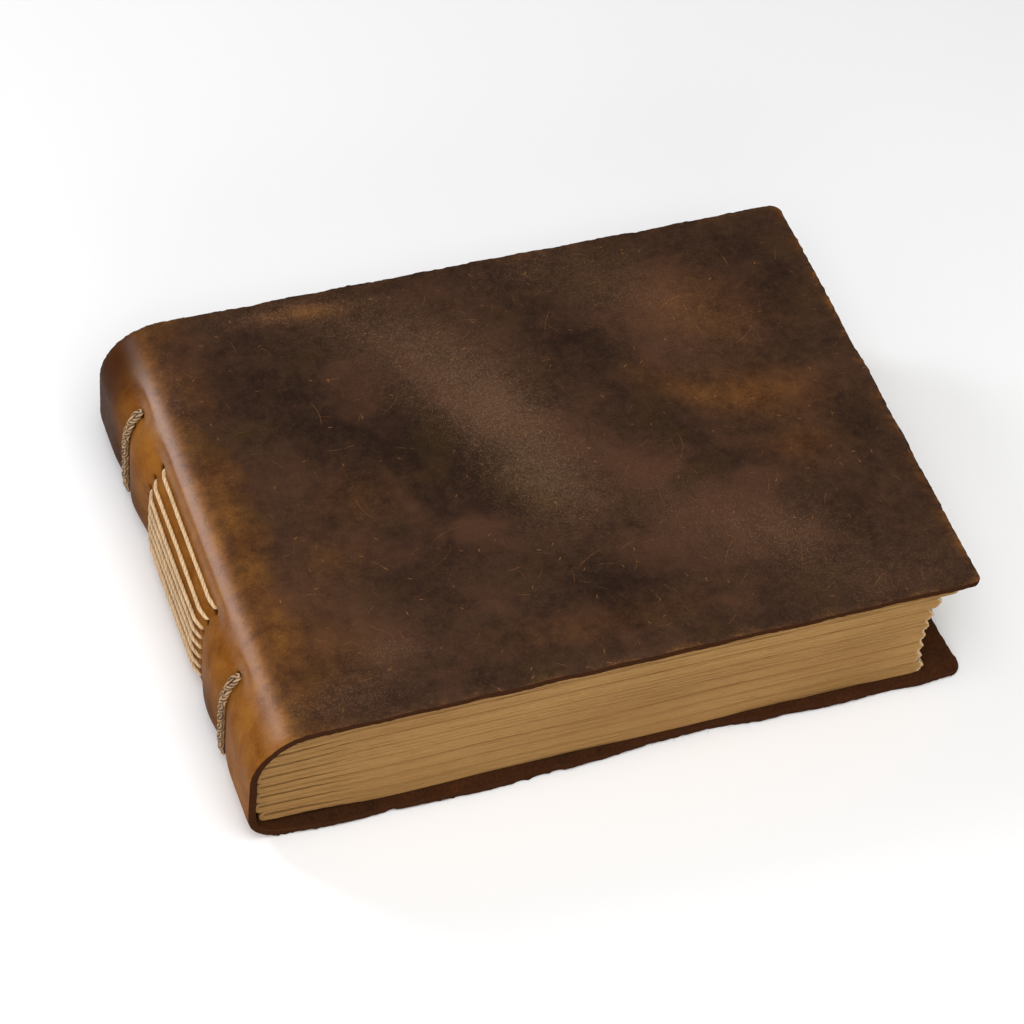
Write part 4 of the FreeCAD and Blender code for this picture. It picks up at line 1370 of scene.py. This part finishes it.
@dataclass
class Stitching:
    """All the thread of the album: each gathering's run with its long stitch, and the two braids."""

    hide: Hide
    stitch_finish: bpy.types.Material
    braid_finish: bpy.types.Material
    wander: tuple[float, ...] = (0.0, 0.5, -0.6, 0.5, -0.3, 0.4, -0.4, 0.2)
    stitch_points: int = 46
    inner_points: int = 24
    braid_width: float = 1.45
    braid_length: float = 8.6
    last_length: float = 5.4

    def on_hide(self, s: Array, y: Array, above: Array) -> Array:
        """Points at a height above the worn grain side of the hide."""
        flat, out = self.hide.spine.line(s)
        sunk, _, _ = self.hide.sink(s, y)
        level = above - sunk
        return np.stack([flat[:, 0] + out[:, 0] * level, y, flat[:, 1] + out[:, 1] * level], -1)

    def run(self, number: int) -> None:
        """Sews one gathering: inside the fold, out, along the spine, in, and inside the fold again."""
        sewing = self.hide.sewing
        fold_x, z = sewing.fold_x[number - 1], sewing.heights[number - 1]
        s = self.hide.holes[number - 1]
        y = np.linspace(sewing.head_row - 0.6, sewing.tail_row + 0.6, self.stitch_points)
        bow = np.sin(math.pi * np.linspace(0, 1, self.stitch_points))
        sway = self.wander[number - 1] * bow ** 2
        above = THREAD_RADIUS * bow.clip(0, 0.16) / 0.16 + 0.12 * bow
        outside = self.on_hide(s + sway, y, above - 0.1)
        _, out = self.hide.spine.line(np.array([s]))
        runs = []
        ways = (sewing.head_link, sewing.head_row - 0.2), (sewing.tail_row + 0.2, sewing.tail_link)
        for start, stop in ways:
            place = np.linspace(start, stop, self.inner_points)
            deep = fold_x + sewing.tuck(place) * TUCK_SHARE / -out[0, 0]
            runs.append(np.stack([deep, place, 0 * place + z], -1))
        route = np.vstack([runs[0], outside, runs[1]])
        patchwork = Patchwork()
        Cord(THREAD_RADIUS).sweep(even_path(route, 0.42, 5), patchwork, number * 37.0)
        piece = patchwork.build(f"stitch_{number}", self.stitch_finish)
        self.bind(piece, number, f"sewing_thread_{number}")

    def link(self, number: int, side: Side) -> None:
        """Loops one link of a braid.

        The loop starts at its gathering's hole, spreads into two strands and closes on the next loop below.
        Going round by an angle a, it is at (1 - cos a) / 2 of its length along the spine, and its strands
        stand aside by its width times sin a; it rises over the next loop as it goes.
        """
        sewing = self.hide.sewing
        station = sewing.head_link if side is Side.HEAD else sewing.tail_link
        length = self.braid_length if number < GATHERINGS else self.last_length
        a = np.linspace(0, 2 * math.pi, 40, endpoint=False)
        down = (1 - np.cos(a)) / 2
        width = self.braid_width * (0.35 + 0.65 * np.sin(math.pi * np.clip(down * 0.9 + 0.12, 0, 1)))
        y = station + width * np.sin(a) + 0.18 * math.sin(number * 1.9)
        s = self.hide.holes[number - 1] + 0.9 - down * length
        above = 0.35 + 0.75 * smooth(down, 0.02, 0.3) + 0.75 * smooth(down, 0.45, 1.0)
        route = self.on_hide(s, y, above)
        patchwork = Patchwork()
        path = even_path(route, 0.4, 3, closed=True)
        cord = Cord(radius=1.0, twist=3.0, around=12, groove=0.12)
        cord.sweep(path, patchwork, number * 21.0 + side.value * 5, closed=True)
        end = "head" if side is Side.HEAD else "tail"
        piece = patchwork.build(f"{end}_braid_{number}", self.braid_finish)
        self.bind(piece, number, f"{end}_link_{number}", number < GATHERINGS)

    def bind(self, piece: bpy.types.Object, number: int, node: str, bends: bool = False) -> None:
        """Makes a thread ride with its gathering, or bakes a link that spans two gatherings in place;
        either way it stands for its frame node."""
        if bends:
            low, high = self.hide.hinge_span(number)
            f"gathering_{number + 1}_body"
            self.hide.spine.point(low)
            self.hide.spine.point(high)
            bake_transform(piece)
        else:
            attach(piece, f"gathering_{number}_body")
        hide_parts(node)

    def build(self) -> None:
        """Sews everything."""
        for number in range(1, GATHERINGS + 1):
            self.run(number)
            self.link(number, Side.HEAD)
            self.link(number, Side.TAIL)


# ---------------------------------------------------------------- the room


@dataclass(frozen=True)
class Lamp:
    """A soft rectangular light that faces the album."""

    name: str
    direction: tuple[float, float, float]
    distance: float
    size: tuple[float, float]
    power: float
    colour: Colour = (1.0, 1.0, 1.0)

    def hang(self) -> None:
        """Puts the light in its place, turned to the album."""
        light = bpy.data.lights.new(self.name, "AREA")
        light.shape = "RECTANGLE"
        light.size, light.size_y = self.size
        light.energy, light.color = self.power, self.colour
        holder = bpy.data.objects.new(self.name, light)
        way = Vector(self.direction).normalized()
        holder.location = way * self.distance
        holder.rotation_mode = "QUATERNION"
        holder.rotation_quaternion = (-way).to_track_quat("-Z", "Y")
        bpy.context.scene.collection.objects.link(holder)


@dataclass
class Studio:
    """The floor, the light and the camera."""

    floor_size: float = 8.0
    camera_place: tuple[float, float, float] = (-0.4045, -0.8562, 1.1367)
    looks_at: tuple[float, float, float] = (-0.00745, -0.00209, 0.031)
    roll: float = 7.42
    lens: float = 125.1
    ambient: float = 0.2
    lamps: tuple[Lamp, ...] = (
        Lamp("window", (-0.62, 0.62, 0.5), 1.7, (0.3, 0.6), 9.0, (0.95, 0.95, 1.0)),
        Lamp("sky_panel", (-0.1, -0.4, 1.0), 1.9, (1.7, 1.7), 34.0),
        Lamp("side_fill", (-0.35, -1.0, 0.3), 2.0, (1.4, 0.9), 14.0, (1.0, 0.96, 0.9)),
    )

    def floor(self) -> None:
        """Lays a pale floor, a grid whose every height is nought."""
        half = self.floor_size / 2 / METRES
        x, y = np.meshgrid([-half, half], [-half, half])
        points = np.stack([x, y, 0 * x], -1).reshape(-1, 3)
        w = Wiring("pale_floor")
        finish = w.coat(base_color=(0.93, 0.93, 0.93), roughness=0.7, specular_ior_level=0.2)
        make_object("floor", points, np.array([[0, 1, 3, 2]]), finish, {})

    def camera(self) -> None:
        """Stands the camera in front of the album, above it and a little to its left."""
        lens = bpy.data.cameras.new("camera")
        lens.lens, lens.sensor_width = self.lens, 36.0
        lens.clip_start, lens.clip_end = 0.05, 30.0
        holder = bpy.data.objects.new("camera", lens)
        place, target = Vector(self.camera_place), Vector(self.looks_at)
        turned = (target - place).to_track_quat("-Z", "Y").to_matrix()
        holder.matrix_world = Matrix.Translation(place) @ (
            turned @ Matrix.Rotation(math.radians(self.roll), 3, "Z")).to_4x4()
        bpy.context.scene.collection.objects.link(holder)
        bpy.context.scene.camera = holder

    def build(self) -> None:
        """Sets up the room."""
        world = bpy.data.worlds.new("soft_room")
        world.use_nodes = True
        sky = world.node_tree.nodes["Background"]
        sky.inputs["Color"].default_value = (1.0, 1.0, 1.0, 1.0)
        sky.inputs["Strength"].default_value = self.ambient
        bpy.context.scene.world = world
        bpy.context.scene.view_settings.view_transform = "Standard"
        self.floor()
        for lamp in self.lamps:
            lamp.hang()
        self.camera()


def main() -> None:
    """Builds the album and the room round it."""
    logging.basicConfig(level=logging.INFO, format="%(name)s: %(message)s")
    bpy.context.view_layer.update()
    Studio().build()
    finishes = Finishes.make()
    spine, sewing = Spine.read(), Sewing.read()
    log.info("spine %s, sewing %s", spine, sewing)
    hide = Hide(spine, sewing, finishes.leather)
    hide.build()
    for number in range(1, GATHERINGS + 1):
        Gathering(number, spine, sewing, finishes.paper).build()
    Stitching(hide, finishes.stitch, finishes.braid).build()


if __name__ == "__main__":
    main()
